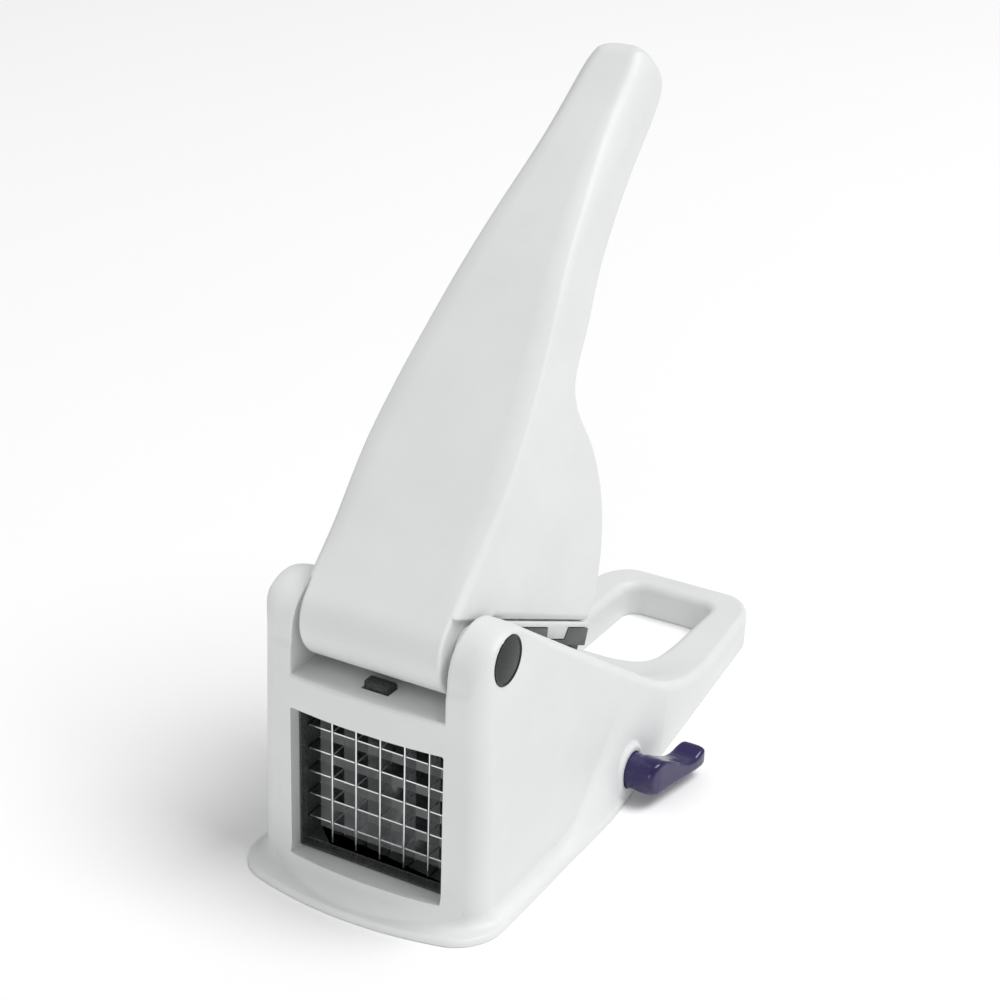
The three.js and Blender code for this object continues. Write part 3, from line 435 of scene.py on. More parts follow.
ear_end_y = EAR_Y + EAR_R * math.sin(SLOPE)
ear_end_z = EAR_Z + EAR_R * math.cos(SLOPE)
fall = math.tan(SLOPE)
slope_end_z = ear_end_z - fall * (SLOPE_END_Y - ear_end_y)
ease = 2 * (slope_end_z - LOOP_TOP) / fall

# Height of the crease where the flank leaves the wall, from the front to where it meets the top.
FLANK_Y = [-40, -12, 11, 30, 42, 50, 58, 68.4, 80, 92, 106, 130, 260]
FLANK_Z = [2.4, 2.4, 3.2, 4.3, 5.6, 8.3, 13.6, 22.7, 31.5, 40, 48, 60, 60]


def curve_through(xs, ys, samples=260):
    """Even samples of a smooth curve through points, for np.interp."""
    xs, ys = np.array(xs, float), np.array(ys, float)
    slopes = np.gradient(ys, xs)
    at = np.linspace(xs[0], xs[-1], samples)
    i = np.clip(np.searchsorted(xs, at) - 1, 0, len(xs) - 2)
    gap = xs[i + 1] - xs[i]
    t = (at - xs[i]) / gap
    value = (
        (2 * t**3 - 3 * t**2 + 1) * ys[i]
        + (t**3 - 2 * t**2 + t) * gap * slopes[i]
        + (3 * t**2 - 2 * t**3) * ys[i + 1]
        + (t**3 - t**2) * gap * slopes[i + 1]
    )
    return at, value


flank_curve = curve_through(FLANK_Y, FLANK_Z)


def foot_half(y):
    return FOOT_HALF - TAPER * np.maximum(y - FOOT_STRAIGHT_Y, 0)


def top_at(y):
    t = np.clip(y - SLOPE_END_Y, 0, ease)
    eased = slope_end_z - fall * t * (1 - t / (2 * ease))
    return np.where(y < SLOPE_END_Y, ear_end_z - fall * (y - ear_end_y), eased)


def dish_at(ax, y):
    """How far the deck between the side ridges lies below them."""
    depth = DISH_DEPTH * (1 - 0.75 * smoothstep(y, 128, 160)) * (1 - smoothstep(y, 158, 172))
    return depth * (1 - smoothstep(ax, DISH_FROM, DISH_TO))


def flank_steepness(y, z):
    """How steeply the flank rises from the foot's edge to its crease on the wall."""
    foot = foot_half(y)
    wall = np.minimum(WALL_HALF * (1 + WALL_DRAFT * np.clip(1 - z / EAR_Z, 0, 1)), foot)
    crease = np.interp(y, *flank_curve).astype(np.asarray(y).dtype)
    return foot, wall, (crease - FLANK_FOOT_Z) / np.maximum(foot - wall, 0.06)


def wall_front(ax, y):
    return (WALL_FRONT + WALL_BOW * ax * ax) - y


def walls(ax, y, z):
    """Walls, flanks and loop as one solid, with its rounded top edge."""
    foot, wall, steep = flank_steepness(y, z)
    drop = FLANK_DROP * (1 - smoothstep(y, FLANK_DROP_FROM, FLANK_DROP_TO))
    flank_top = FLANK_FOOT_Z + steep * (foot - ax) - drop
    flank = both(ax - foot, (z - flank_top) / np.sqrt(1 + steep * steep), FLANK_EDGE)
    side = either(ax - wall, flank, FLANK_CREASE)
    plan = both(both(side, wall_front(ax, y), WALL_CORNER), y - LOOP_REAR, LOOP_CORNER)

    t = np.clip(y - SLOPE_END_Y, 0, ease)
    slope_here = np.where(y < SLOPE_END_Y, fall, fall * (1 - t / ease))
    level = (z - top_at(y) + dish_at(ax, y)) / np.sqrt(1 + slope_here**2)
    dy, dz = y - EAR_Y, z - EAR_Z
    over_ear = (dy * math.cos(SLOPE) - dz * math.sin(SLOPE) < 0) & (dz > 0)
    under_ear = -EAR_R - EAR_CURVE * dz * dz - dy
    beside_ear = np.where(dz > 0, level, np.maximum(level, under_ear))
    top = np.where(over_ear, np.hypot(dy, dz) - EAR_R, beside_ear)
    round_in = 8.5 - 4.5 * smoothstep(y, 10, 150)
    round_down = 2.1 + 1.9 * smoothstep(np.hypot(y, z - HINGE_Z), 14, 40)
    return both_wide(plan, top, round_in, round_down)


def foot_plan(ax, y):
    front = both(ax - foot_half(y), (FOOT_FRONT + FOOT_BOW * ax * ax) - y, FOOT_CORNER)
    return both(front, y - LOOP_REAR, LOOP_CORNER)


def ramp_rise(ax, y):
    """Height over the rim of the slope up to the window's sill, which narrows to the walls' corners."""
    rim = (FOOT_FRONT + RIM_INSET + FOOT_BOW * ax * ax) - y
    (side_x, side_y), (along_x, along_y) = RAMP_SIDE_FROM, RAMP_SIDE_ALONG
    diagonal = ((ax - side_x) * along_y - (y - side_y) * along_x) / RAMP_SIDE_LENGTH
    outside = both(rim, diagonal, RAMP_CORNER)
    to_wall = np.maximum(both(ax - RAMP_WALL_HALF, wall_front(ax, y), WALL_CORNER), 0)
    share = np.clip(-outside / np.maximum(to_wall - outside, 1e-3), 0, 1)
    eased = (1 + RAMP_EASE) * share * share / (share + RAMP_EASE)
    left = 1 - RAMP_FALL * smoothstep(ax, RAMP_FALL_FROM, RAMP_FALL_TO)
    return (WINDOW_LOW - RIM_Z) * eased * left


def flange(ax, y, z):
    """The foot's rim, with the ramp in front and the skirt beside the walls."""
    foot, _, steep = flank_steepness(y, z)
    steep = np.minimum(steep, SKIRT_STEEPEST) * (1 - smoothstep(y, SKIRT_FROM, SKIRT_TO))
    top = RIM_Z + np.maximum(steep * np.maximum(foot - ax, 0), ramp_rise(ax, y))
    return both(foot_plan(ax, y), (z - top) / np.sqrt(RIM_SPREAD + steep * steep), RIM_EDGE)


def hand_hole(ax, y):
    front = both(ax - HOLE_HALF, HOLE_FRONT - y, HOLE_FRONT_CORNER)
    return both(front, y - HOLE_REAR, HOLE_REAR_CORNER)


def inner_space(x, ax, y, z):
    """The hollow under the skin, clear of the chamber, the hand hole, posts, ribs and shaft seats."""
    hinge_r = np.hypot(y, z - HINGE_Z)
    from_shaft = np.hypot(y - SHAFT_Y, z - SHAFT_Z)
    around_chamber = np.maximum(hinge_r - CHAMBER_R - CHAMBER_WALL, ax - CHAMBER_HALF - CHAMBER_WALL)
    under_top = top_at(y) - dish_at(ax, y) - SKIN - 0.4
    ceiling = z - np.where(y < CEILING_FRONT_TO, CEILING_FRONT, under_top)
    inner_half = np.minimum(WALL_HALF, foot_half(y) - 1.2) - SKIN
    plan = both(ax - inner_half, y - INNER_REAR, INNER_CORNER)
    space = np.maximum(plan, np.maximum(INNER_FRONT - y, ceiling))
    space = without(space, around_chamber, 1.0)
    space = without(space, hand_hole(ax, y) - HOLE_WALL, 0.8)
    for sx, sy in SCREWS:
        post = np.maximum(np.hypot(ax - sx, y - sy) - POST_R, z - POST_TO)
        space = without(space, post, 0.6)
    space = without(space, np.hypot(ax - PADS[1][0], y - PADS[1][1]) - PAD_WALL, 0.5)
    rib = np.maximum(slab(ax, *RIB_X), np.maximum(slab(y, *RIB_Y), RIB_LOW - z))
    seat = np.maximum(np.hypot(x, y - SHAFT_Y) - SPRING_SEAT_R, SPRING_SEAT_Z - z)
    stub_wall = np.maximum(from_shaft - STUB_WALL, 38 - x)
    for part in (rib, seat, stub_wall):
        space = without(space, part, 0.6)
    return space


def bores(x, ax, y, z):
    """Bores and seats for the shaft, axle, caps, screws and pads, and the recess of the base plate."""
    hinge_r = np.hypot(y, z - HINGE_Z)
    from_shaft = np.hypot(y - SHAFT_Y, z - SHAFT_Z)
    cut = np.maximum(from_shaft - SHAFT_BORE, slab(x, -44, 60))
    cut = np.minimum(cut, np.maximum(from_shaft - STUB_BORE, STUB_FROM - x))
    cut = np.minimum(cut, hinge_r - SHAFT_BORE)
    cut = np.minimum(cut, np.maximum(hinge_r - CAP_BORE, CAP_FROM - ax))
    for sx, sy in SCREWS:
        cut = np.minimum(cut, np.maximum(np.hypot(ax - sx, y - sy) - SCREW_BORE, z - SCREW_DEEP))
    for px, py in PADS:
        cut = np.minimum(cut, np.maximum(np.hypot(ax - px, y - py) - PAD_BORE, z - PLATE_THICK))
    plate_half = np.minimum(foot_half(y) - PLATE_INSET, WALL_HALF - 2) + PLATE_GAP
    plate_ends = slab(y, PLATE_FRONT - PLATE_GAP, PLATE_REAR + PLATE_GAP)
    plate = np.maximum(np.maximum(ax - plate_half, plate_ends), z - 1.8)
    cut = np.minimum(cut, plate)
    return np.minimum(cut, np.maximum(np.hypot(x, y - SHAFT_Y) - CUP_BORE, z - CUP_DEEP))


def shell_field(x, y, z):
    ax = np.abs(x)
    fillet = FOOT_FILLET_REAR + FOOT_FILLET_MORE * (1 - smoothstep(y, FOOT_FILLET_FROM, FOOT_FILLET_TO))
    solid = either(flange(ax, y, z), walls(ax, y, z), fillet)
    from_shaft = np.hypot(y - SHAFT_Y, z - SHAFT_Z)
    collar = both(from_shaft - COLLAR_R, slab(x, COLLAR_FROM, COLLAR_TO), COLLAR_EDGE)
    solid = either(solid, collar, COLLAR_FILLET)
    solid = without(without(solid, hand_hole(ax, y), HOLE_EDGE), inner_space(x, ax, y, z))

    inside_arc = np.hypot(y, z - HINGE_Z) - CHAMBER_R
    ears = np.maximum(ax - EAR_INNER, LEDGE_Z - z)
    room = np.maximum(inside_arc, np.maximum(-y, ax - EAR_INNER))
    open_top = np.minimum(np.maximum(ears, y - 60), np.maximum(room, CHAMBER_FLOOR - z))
    solid = without(solid, open_top, 1.0)
    under_ledge = slab(z, CHAMBER_FLOOR, LEDGE_Z - 0.8)
    wide = np.maximum(np.maximum(inside_arc, -5 - y), np.maximum(ax - CHAMBER_HALF, under_ledge))
    solid = without(solid, np.minimum(wide, block(x, y, z, CASSETTE_POCKET)))
    pane = both(ax - WINDOW_HALF, slab(z, WINDOW_LOW, WINDOW_HIGH), WINDOW_CORNER)
    solid = without(solid, both(pane, y, CRISP_EDGE), 0.12)
    solid = without(solid, block(x, y, z, TAB_HOLE), CRISP_EDGE)
    solid = without(solid, bores(x, ax, y, z), 0.35)
    return np.maximum(solid, -z)


# ---------------------------------------------------------------------------------------------
# The lever's shell, about the hinge in its raised position
# ---------------------------------------------------------------------------------------------

LEVER_STEP = 0.8
BARREL_R, BARREL_HALF, CHEEK_HALF, CHEEK_R = 17, 28.5, 30.1, 99
CHEEK_ARC_R = CHEEK_R - 0.7  # the visible rear edge
LEVER_ANGLE, TIP_ANGLE = math.radians(48), math.radians(39.5)
BEND_FROM, BEND_TO, TIP_S, TIP_R, TIP_BACK_R = 120, 165, 238, 10.8, 6.5
SIDE_DEPTH = 80  # the sides open out over this depth, from front to cheek
GRIP_DRAFT = 2.6
STROKE = math.radians(66)
CHEEK_EDGE = 9.7
LEVER_SKIN, LEVER_FRONT_SKIN = 2.6, 3.4
AXLE_BORE, BUSH_BORE, BUSH_FROM = 4.3, 6.3, 20.7
COVER_FROM, COVER_TO, COVER_THICK, COVER_GAP = 136, 212, 2.4, 0.3
FRONT_HALF = curve_through(
    [0, 30, 58, 80, 105, 142, 162, 192, 208, 216, 222, 228, 232, 235, 237.3, 238.6],
    [30.1, 30.4, 30.1, 27.9, 24.4, 19.8, 17.4, 15, 14.5, 14.3, 14, 13.2, 11.9, 9.9, 6.9, 4],
)
NECK = [(129, 26.6), (118, 25.8), (109, 26), (104.5, 27), (101, 29.3), (98, 33.4), (95.4, 39.8), (93.4, 47.5)]
COVER_SCREWS = (146, 202)
COVER_POST_R, COVER_SCREW_BORE, COVER_SCREW_DEEP = 3.2, 1.7, 13

direction = np.array([math.cos(LEVER_ANGLE), math.sin(LEVER_ANGLE)])
inward = np.array([math.sin(LEVER_ANGLE), -math.cos(LEVER_ANGLE)])
front_start = -BARREL_R * inward
bend_r = (BEND_TO - BEND_FROM) / (LEVER_ANGLE - TIP_ANGLE)
bend_centre = front_start + BEND_FROM * direction + bend_r * inward
tip_direction = np.array([math.cos(TIP_ANGLE), math.sin(TIP_ANGLE)])
tip_inward = np.array([math.sin(TIP_ANGLE), -math.cos(TIP_ANGLE)])
bend_end = bend_centre - bend_r * tip_inward


def along_front(y, z):
    """Distance along the front face and depth below it, for places about the hinge."""
    s = (y - front_start[0]) * direction[0] + (z - front_start[1]) * direction[1]
    d = (y - front_start[0]) * inward[0] + (z - front_start[1]) * inward[1]
    cy, cz = y - bend_centre[0], z - bend_centre[1]
    angle = np.arctan2(cy * direction[0] + cz * direction[1], -(cy * inward[0] + cz * inward[1]))
    bent_s, bent_d = BEND_FROM + bend_r * angle, bend_r - np.hypot(cy, cz)
    end_s = BEND_TO + (y - bend_end[0]) * tip_direction[0] + (z - bend_end[1]) * tip_direction[1]
    end_d = (y - bend_end[0]) * tip_inward[0] + (z - bend_end[1]) * tip_inward[1]
    past = angle > LEVER_ANGLE - TIP_ANGLE
    bending = (angle > 0) & ~past
    return (
        np.where(past, end_s, np.where(bending, bent_s, s)),
        np.where(past, end_d, np.where(bending, bent_d, d)),
    )


def point_along(s, depth):
    if s <= BEND_FROM:
        return front_start + direction * s + inward * depth
    if s >= BEND_TO:
        return bend_end + tip_direction * (s - BEND_TO) + tip_inward * depth
    a = LEVER_ANGLE - (s - BEND_FROM) / bend_r
    return bend_centre + np.array([-math.sin(a), math.cos(a)]) * (bend_r - depth)


def arc(radius, start, end, steps, centre=(0, 0)):
    angles = np.radians(np.linspace(start, end, steps + 1))
    return [(centre[0] + radius * math.cos(a), centre[1] + radius * math.sin(a)) for a in angles]


def raised(u, v):
    """A place in the frame of the pusher at the blades, turned to the raised lever."""
    return (u * math.cos(STROKE) - v * math.sin(STROKE), u * math.sin(STROKE) + v * math.cos(STROKE))


def back_depth(s):
    return 21 + (COVER_TO - s) * 0.07


def lever_outline():
    barrel = arc(BARREL_R, -12, -(270 - math.degrees(LEVER_ANGLE)), 40)[:-1]
    front = [tuple(point_along(s, 0)) for s in np.linspace(0, TIP_S - TIP_R, 26)]
    tip_centre = point_along(TIP_S - TIP_R, TIP_R)
    toward = math.degrees(TIP_ANGLE)
    tip = arc(TIP_R, toward + 82, toward, 9, tip_centre)
    back_centre = point_along(TIP_S - TIP_BACK_R, back_depth(TIP_S) - TIP_BACK_R)
    tip += arc(TIP_BACK_R, toward, toward - 78, 9, back_centre)
    back = [tuple(point_along(s, back_depth(s))) for s in (212, 190, 170, 152, 138)]
    neck = [tuple(point_along(*p)) for p in NECK]
    rear = arc(CHEEK_ARC_R, 28, -14, 22)
    lower = [raised(CHEEK_EDGE, -(CHEEK_R - 4.5)), raised(CHEEK_EDGE, -14)]
    return barrel + front + tip + back + neck + rear + lower


def cheek_hollow_outline():
    inner = [raised(CHEEK_EDGE - 2, -23), raised(CHEEK_EDGE - 2, -(CHEEK_R - 7))]
    inner += arc(CHEEK_ARC_R - LEVER_SKIN, -14, 21, 10)
    neck = ((88.8, 46.5), (90.2, 37.5), (92.6, 30.4), (97, 24.6), (110, 23))
    inner += [tuple(point_along(*p)) for p in neck]
    return inner + [tuple(point_along(s, LEVER_FRONT_SKIN)) for s in (110, 80, 50, 22)]


def grip_hollow_outline():
    top = [(114, LEVER_FRONT_SKIN), (130, 3.6), (145, 4.4), (160, 5.6), (180, 7.4), (214, 9.4)]
    floor = COVER_THICK + COVER_GAP
    start, end = COVER_FROM - COVER_GAP, COVER_TO + COVER_GAP
    back = [(end, back_depth(COVER_TO) - floor), (end, 60), (start, 60)]
    back += [(start, back_depth(COVER_FROM) - floor), (114, 23)]
    return [tuple(point_along(*p)) for p in top + back]


lever_side = outline_distance(lever_outline())
cheek_hollow = outline_distance(cheek_hollow_outline())
grip_hollow = outline_distance(grip_hollow_outline())


def lever_field(x, y, z):
    ax = np.abs(x)
    z = z - HINGE_Z
    s, d = along_front(y, z)
    front = np.interp(s, *FRONT_HALF).astype(np.asarray(y).dtype)
    cheek = CHEEK_HALF + (front + GRIP_DRAFT - CHEEK_HALF) * smoothstep(s, 85, 150)
    half = front + (cheek - front) * np.clip((d + 12) / SIDE_DEPTH, 0, 1.9)
    edge = np.clip((ax - (front - 8.5)) / 8.5, 0, 1.3)
    shoulder = (1.5 + 0.9 * smoothstep(s, 100, 190)) * edge * edge
    crown = (shoulder + 0.45 * (ax / 30) ** 2) * smoothstep(s, 2, 30)
    face = np.where(s > 0, crown - d, -30)
    side = np.maximum(lever_side(y, z), np.minimum(face, 6))
    from_hinge = np.hypot(y, z)
    near_front = 1 - smoothstep(d, 8, 20)
    edge_r = 0.9 + 1.9 * (1 - smoothstep(s, 15, 70)) + 0.7 * smoothstep(d, 4, 14)
    edge_r = edge_r + (1.6 * smoothstep(s, 85, 150) + 4.8 * smoothstep(s, 150, 222)) * near_front
    solid = both(side, ax - half, edge_r)

    inner = ax - (half - LEVER_SKIN)
    hollow = both(np.minimum(cheek_hollow(y, z), grip_hollow(y, z)), inner, 1.2)
    for at in COVER_SCREWS:
        post = np.maximum(np.hypot(x, s - at) - COVER_POST_R, d - back_depth(at) + 2.7)
        hollow = without(hollow, post, 0.5)
    solid = without(solid, hollow, 0.25)
    u = y * math.cos(STROKE) + z * math.sin(STROKE)
    recess = np.maximum(BARREL_HALF - ax, np.maximum(from_hinge - BARREL_R - 2, u - CHEEK_EDGE))
    solid = without(solid, recess, 0.8)
    bush = np.maximum(from_hinge - BUSH_BORE, BUSH_FROM - ax)
    solid = without(solid, np.minimum(from_hinge - AXLE_BORE, bush), 0.3)
    for at in COVER_SCREWS:
        bore = np.maximum(np.hypot(x, s - at) - COVER_SCREW_BORE, back_depth(at) - COVER_SCREW_DEEP - d)
        solid = without(solid, bore)
    return solid


# ---------------------------------------------------------------------------------------------
# The suction lever
# ---------------------------------------------------------------------------------------------

ARM_STEP = 0.42
STUB_R, STUB_X, STUB_EDGE, STUB_TAPER = 7.4, (46, 61.4), 1.6, 0.06
ARM_EDGE, ARM_FILLET = 1.7, 1.4
ARM_SIDE = softened(
    arc(7.2, 60, 250, 14, (SHAFT_Y, SHAFT_Z))
    + [(SHAFT_Y + 6, 5.2), (118, 4.5), (122.5, 4.4), (124.8, 5.6), (125.4, 8.4), (125.2, 10.9), (123.7, 12.2),
       (120, 11.4), (116.5, 10.2), (112, 10.6), (107, 12.7), (102, 15.6)],
    1,
)
ARM_PLAN = softened(
    [(54, SHAFT_Y - 8), (60.8, SHAFT_Y - 8), (62.9, SHAFT_Y - 3), (64, SHAFT_Y + 4), (68.3, 121),
     (66.8, 125.2), (58.3, 125.6), (56.8, 123.6), (55, 114), (54, 103)],
    2,
)
arm_side = outline_distance(ARM_SIDE)
arm_plan = outline_distance(ARM_PLAN)


def suction_field(x, y, z):
    from_shaft = np.hypot(y - SHAFT_Y, z - SHAFT_Z)
    radius = STUB_R - STUB_TAPER * np.maximum(x - STUB_X[0], 0)
    stub = both(from_shaft - np.minimum(radius, 7.2), slab(x, *STUB_X), STUB_EDGE)
    arm = both(arm_side(y, z), arm_plan(x, y), ARM_EDGE)
    bore = np.maximum(from_shaft - SHAFT_BORE, x - 58.3)
    return without(either(stub, arm, ARM_FILLET), bore, 0.3)


# ---------------------------------------------------------------------------------------------
# Materials
# ---------------------------------------------------------------------------------------------


class Nodes:
    """A material's node tree, with short calls for the nodes used here."""

    def __init__(self, name):
        self.material = bpy.data.materials.new(name)
        self.material.use_nodes = True
        self.tree = self.material.node_tree
        self.shader = self.tree.nodes["Principled BSDF"]
        self.place = self.add("ShaderNodeTexCoord").outputs["Object"]

    def add(self, kind, **values):
        node = self.tree.nodes.new(kind)
        for key, value in values.items():
            setattr(node, key, value)
        return node

    def join(self, output, socket):
        self.tree.links.new(output, socket)

    def stretched(self, scale):
        node = self.add("ShaderNodeMapping")
        node.inputs["Scale"].default_value = scale
        self.join(self.place, node.inputs["Vector"])
        return node.outputs["Vector"]

    def noise(self, scale, detail=2.0, roughness=0.5, vector=None):
        node = self.add("ShaderNodeTexNoise")
        node.inputs["Scale"].default_value = scale
        node.inputs["Detail"].default_value = detail
        node.inputs["Roughness"].default_value = roughness
        self.join(vector or self.place, node.inputs["Vector"])
        return node.outputs["Fac"]

    def ranged(self, value, low, high, to_low, to_high):
        node = self.add("ShaderNodeMapRange")
        node.inputs["From Min"].default_value = low
        node.inputs["From Max"].default_value = high
        node.inputs["To Min"].default_value = to_low
        node.inputs["To Max"].default_value = to_high
        self.join(value, node.inputs["Value"])
        return node.outputs["Result"]

    def mixed(self, factor, a, b):
        node = self.add("ShaderNodeMix", data_type="RGBA")
        self.join(factor, node.inputs["Factor"])
        node.inputs["A"].default_value = (*a, 1)
        node.inputs["B"].default_value = (*b, 1)
        return node.outputs["Result"]

    def bump(self, height, strength, distance, under=None):
        node = self.add("ShaderNodeBump")
        node.inputs["Strength"].default_value = strength
        node.inputs["Distance"].default_value = distance
        self.join(height, node.inputs["Height"])
        if under:
            self.join(under, node.inputs["Normal"])
        return node.outputs["Normal"]


def plastic(name, dark, light, rough, grain_scale, grain_depth, coat=0.0, ior=1.5, tint_scale=28):
    """Moulded plastic: slow tint and roughness changes, surface grain, faint rubbing marks."""
    nodes = Nodes(name)
    shader = nodes.shader
    cloud = nodes.noise(tint_scale, 4, 0.6)
    nodes.join(nodes.mixed(nodes.ranged(cloud, 0.35, 0.65, 0, 1), dark, light), shader.inputs["Base Color"])
    rub = nodes.noise(1, 5, 0.7, nodes.stretched((90, 900, 260)))
    patch = nodes.ranged(nodes.noise(60, 3, 0.6), 0.3, 0.7, -0.035, 0.035)
    total = nodes.add("ShaderNodeMath", operation="ADD")
    nodes.join(nodes.ranged(rub, 0.35, 0.75, rough - 0.03, rough + 0.06), total.inputs[0])
    nodes.join(patch, total.inputs[1])
    nodes.join(total.outputs[0], shader.inputs["Roughness"])
    waves = nodes.bump(nodes.noise(34, 2, 0.4), 0.12, 0.0006)
    grain = nodes.bump(nodes.noise(grain_scale, 3, 0.6), 0.35, grain_depth, waves)
    nodes.join(grain, shader.inputs["Normal"])
    shader.inputs["IOR"].default_value = ior
    shader.inputs["Coat Weight"].default_value = coat
    shader.inputs["Coat Roughness"].default_value = 0.12
    return nodes.material


def metal(name, dark, light, rough, spread, stretch, depth):
    """Worked steel: brushing along one direction, with cloudier and cleaner places."""
    nodes = Nodes(name)
    shader = nodes.shader
    shader.inputs["Metallic"].default_value = 1.0
    brushing = nodes.noise(1, 4, 0.65, nodes.stretched(stretch))
    cloud = nodes.ranged(nodes.noise(70, 4, 0.6), 0.3, 0.7, 0, 1)
    nodes.join(nodes.mixed(cloud, dark, light), shader.inputs["Base Color"])
    streaks = nodes.ranged(brushing, 0.3, 0.7, rough - spread / 2, rough + spread)
    nodes.join(streaks, shader.inputs["Roughness"])
    nodes.join(nodes.bump(brushing, 0.3, depth), shader.inputs["Normal"])
    return nodes.material


PLASTICS = {
    "white_plastic": {
        "dark": (0.72, 0.732, 0.73), "light": (0.75, 0.762, 0.76), "rough": 0.47,
        "grain_scale": 2600, "grain_depth": 0.00001, "coat": 0.05, "ior": 1.46,
    },
    "grey_plastic": {
        "dark": (0.05, 0.056, 0.058), "light": (0.064, 0.071, 0.073), "rough": 0.46,
        "grain_scale": 3200, "grain_depth": 0.00003,
    },
    "black_plastic": {
        "dark": (0.012, 0.013, 0.014), "light": (0.075, 0.08, 0.082), "rough": 0.44,
        "grain_scale": 1500, "grain_depth": 0.0003, "ior": 1.42, "tint_scale": 1300,
    },
    "violet_plastic": {
        "dark": (0.014, 0.008, 0.062), "light": (0.02, 0.013, 0.083), "rough": 0.2,
        "grain_scale": 2600, "grain_depth": 0.000008, "coat": 0.22, "ior": 1.42,
    },
    "cap_plastic": {
        "dark": (0.008, 0.009, 0.01), "light": (0.012, 0.0135, 0.0145), "rough": 0.24,
        "grain_scale": 2600, "grain_depth": 0.00001, "ior": 1.28,
    },
    "nylon": {
        "dark": (0.6, 0.6, 0.575), "light": (0.66, 0.66, 0.635), "rough": 0.46,
        "grain_scale": 2400, "grain_depth": 0.00002,
    },
    "rubber": {
        "dark": (0.058, 0.06, 0.062), "light": (0.082, 0.085, 0.087), "rough": 0.72,
        "grain_scale": 1800, "grain_depth": 0.00005,
    },
}
METALS = {
    "blade_steel": {
        "dark": (0.78, 0.79, 0.8), "light": (0.85, 0.86, 0.87), "rough": 0.12,
        "spread": 0.06, "stretch": (500, 500, 5000), "depth": 0.0000004,
    },
    "steel": {
        "dark": (0.5, 0.51, 0.52), "light": (0.6, 0.61, 0.62), "rough": 0.26,
        "spread": 0.1, "stretch": (3000, 3000, 700), "depth": 0.00001,
    },
}
LOOKS = {name: plastic(name, **look) for name, look in PLASTICS.items()}
LOOKS.update({name: metal(name, **look) for name, look in METALS.items()})


def finish(piece, body, slot, *nodes, look=None):
    """Gives a piece its material and its body (none for one that bends between two), and hides the CAD nodes
    it stands for.
    """
    piece.data.materials.clear()
    piece.data.materials.append(LOOKS[look or slot])
    if body:
        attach(piece, body)
    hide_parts(*nodes)
    return piece


def box_of(node):
    low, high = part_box(node)
    return np.array(low) / MM, np.array(high) / MM


# ---------------------------------------------------------------------------------------------
# Stand
# ---------------------------------------------------------------------------------------------

shell = moulded("stand_shell", shell_field, *box_of("body_shell"), SHELL_STEP)
finish(shell, "stand", "white_plastic", "body_shell")


CAP_R, CAP_INNER, CAP_OUTER = 9.4, 42.85, 45.85
CAP_GROOVE, CAP_DOME, CAP_DOME_R = 0.3, 0.42, 8.2
CAP_RIM = [(0.1, 0.28), (0.32, 0.08), (0.65, 0), (0.95, 0.08), (1.2, CAP_GROOVE)]  # in from edge and top
CAP_DOME_AT = (7.9, 7.2, 6, 4.6, 3.2, 1.6)


def pivot_cap(side):
    """A push-in cap over the axle's end: a rolled rim, a fine groove and a low dome."""
    profile = [(0, CAP_INNER), (CAP_R - 0.5, CAP_INNER), (CAP_R, CAP_INNER + 0.5), (CAP_R, CAP_OUTER - 0.6)]
    profile += [(CAP_R - side_in, CAP_OUTER - down) for side_in, down in CAP_RIM]
    for q in CAP_DOME_AT:
        profile.append((q, CAP_OUTER - CAP_GROOVE + CAP_DOME * (1 - (q / CAP_DOME_R) ** 2)))
    profile.append((0, CAP_OUTER - CAP_GROOVE + CAP_DOME))
    place = "right" if side > 0 else "left"
    cap = turned("cap_" + place, [(q, side * x) for q, x in profile], (0, 0, HINGE_Z))
    finish(cap, "stand", "grey_plastic", "pivot_cap_" + place, look="cap_plastic")


for side in (-1, 1):
    pivot_cap(side)

finish(refined("cassette_frame", 0.3), "stand", "black_plastic", "cassette_frame")
for i in range(1, 6):
    for way in ("vertical", "horizontal"):
        node = f"blade_{way}_{i}"
        finish(refined(node, 0.1, 1, smooth_to=20), "stand", "blade_steel", node)

tab = refined("release_tab", 0.55, 3)
finish(tab, "release_button", "black_plastic", "release_tab")
finish(refined("base_plate", 0.25), "stand", "white_plastic", "base_plate")

# ---------------------------------------------------------------------------------------------
# Lever and pusher
# ---------------------------------------------------------------------------------------------

lever = moulded("lever_moulding", lever_field, *box_of("lever_shell"), LEVER_STEP)
finish(lever, "lever", "white_plastic", "lever_shell")
finish(refined("lever_back_cover", 0.5, 3), "lever", "white_plastic", "lever_back_cover")
finish(refined("pusher_plate", 0.35), "lever", "grey_plastic", "pusher_plate")
finish(refined("pusher_carrier", 0.3), "lever", "white_plastic", "pusher_carrier")

# ---------------------------------------------------------------------------------------------
# Suction foot
# ---------------------------------------------------------------------------------------------

arm = moulded("suction_arm", suction_field, *box_of("suction_lever"), ARM_STEP)
finish(arm, "suction_handle", "violet_plastic", "suction_lever")

# ---------------------------------------------------------------------------------------------
# Pieces that give: the cup and the tab's spring get meshes of their own, the stem's spring is baked in place
# with no body
# ---------------------------------------------------------------------------------------------

cup = refined("suction_cup", 0.3)
finish(cup, "stand", "rubber", "suction_cup")
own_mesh(cup)

tab_spring = refined("release_tab_spring", 0)
finish(tab_spring, "stand", "steel", "release_tab_spring")
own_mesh(tab_spring)

stem_spring = refined("suction_spring", 0)
finish(stem_spring, None, "steel", "suction_spring")
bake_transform(stem_spring)

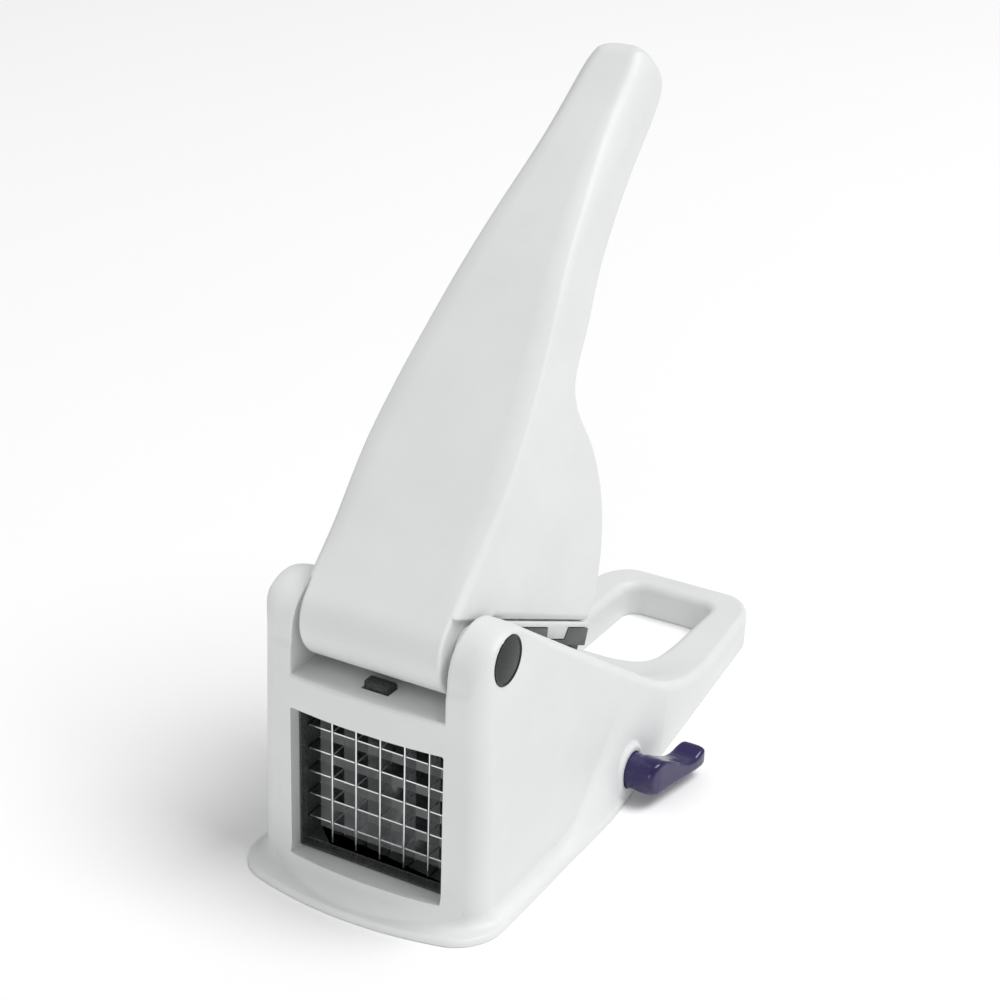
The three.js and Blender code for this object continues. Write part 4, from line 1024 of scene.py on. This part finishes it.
# CAD nodes that are shown as they are
BASE_SCREWS = [f"base_screw_{i}" for i in range(1, 7)]
CARRIED = {
    "steel": ["pivot_axle", "shaft_clip", *BASE_SCREWS, "cover_screw_1", "cover_screw_2"],
    "nylon": ["axle_bush_left", "axle_bush_right", "cam_shaft", "suction_yoke"],
    "rubber": [f"rubber_foot_{a}_{b}" for a in ("front", "rear") for b in ("left", "right")],
}
for look, nodes in CARRIED.items():
    for node in nodes:
        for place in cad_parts[node].material_slots:
            place.material = LOOKS[look]

# ---------------------------------------------------------------------------------------------
# Camera, floor and light
# ---------------------------------------------------------------------------------------------

AZIMUTH, ELEVATION, ROLL = math.radians(29.22), math.radians(24.61), math.radians(-1.77)
EYE = (0.3569, -0.5658, 0.4569)
LENS, SENSOR = 78.573, 36
FLOOR_HALF, FLOOR_Z = 6, -0.0002
SKY = 0.48


def camera():
    data = bpy.data.cameras.new("camera")
    data.lens = LENS
    data.sensor_width = SENSOR
    data.clip_start = 0.01
    piece = bpy.data.objects.new("camera", data)
    back = Vector(
        (
            math.sin(AZIMUTH) * math.cos(ELEVATION),
            -math.cos(AZIMUTH) * math.cos(ELEVATION),
            math.sin(ELEVATION),
        )
    )
    right = Vector((math.cos(AZIMUTH), math.sin(AZIMUTH), 0))
    up = back.cross(right)
    turned_right = right * math.cos(ROLL) - up * math.sin(ROLL)
    turned_up = right * math.sin(ROLL) + up * math.cos(ROLL)
    rotation = Matrix((turned_right, turned_up, back)).transposed()
    piece.matrix_world = Matrix.Translation(EYE) @ rotation.to_4x4()
    bpy.context.collection.objects.link(piece)
    bpy.context.scene.camera = piece


def floor():
    mesh = bpy.data.meshes.new("floor")
    corners = [(a * FLOOR_HALF, b * FLOOR_HALF, FLOOR_Z) for a, b in ((-1, -1), (1, -1), (1, 1), (-1, 1))]
    mesh.from_pydata(corners, [], [(0, 1, 2, 3)])
    piece = bpy.data.objects.new("floor", mesh)
    nodes = Nodes("floor")
    tint = nodes.mixed(nodes.noise(3, 3), (0.97, 0.97, 0.97), (0.985, 0.985, 0.985))
    nodes.join(tint, nodes.shader.inputs["Base Color"])
    nodes.shader.inputs["Roughness"].default_value = 0.9
    mesh.materials.append(nodes.material)
    bpy.context.collection.objects.link(piece)


def soft_light(name, place, target, size, power):
    data = bpy.data.lights.new(name, "AREA")
    data.shape = "DISK"
    data.size = size
    data.energy = power
    piece = bpy.data.objects.new(name, data)
    piece.location = place
    aim = Vector(target) - Vector(place)
    piece.rotation_euler = aim.to_track_quat("-Z", "Y").to_euler()
    bpy.context.collection.objects.link(piece)


camera()
floor()
soft_light("key", place=(2.4, 1.0, 5.1), target=(0, 0.08, 0.1), size=3.4, power=212)
soft_light("front", place=(1.6, -5.2, 1.4), target=(0, 0.03, 0.06), size=2.4, power=38)
world = bpy.data.worlds.new("studio")
world.use_nodes = True
sky = world.node_tree.nodes["Background"]
sky.inputs["Color"].default_value = (1, 1, 1, 1)
sky.inputs["Strength"].default_value = SKY
bpy.context.scene.world = world
bpy.context.scene.view_settings.view_transform = "Standard"
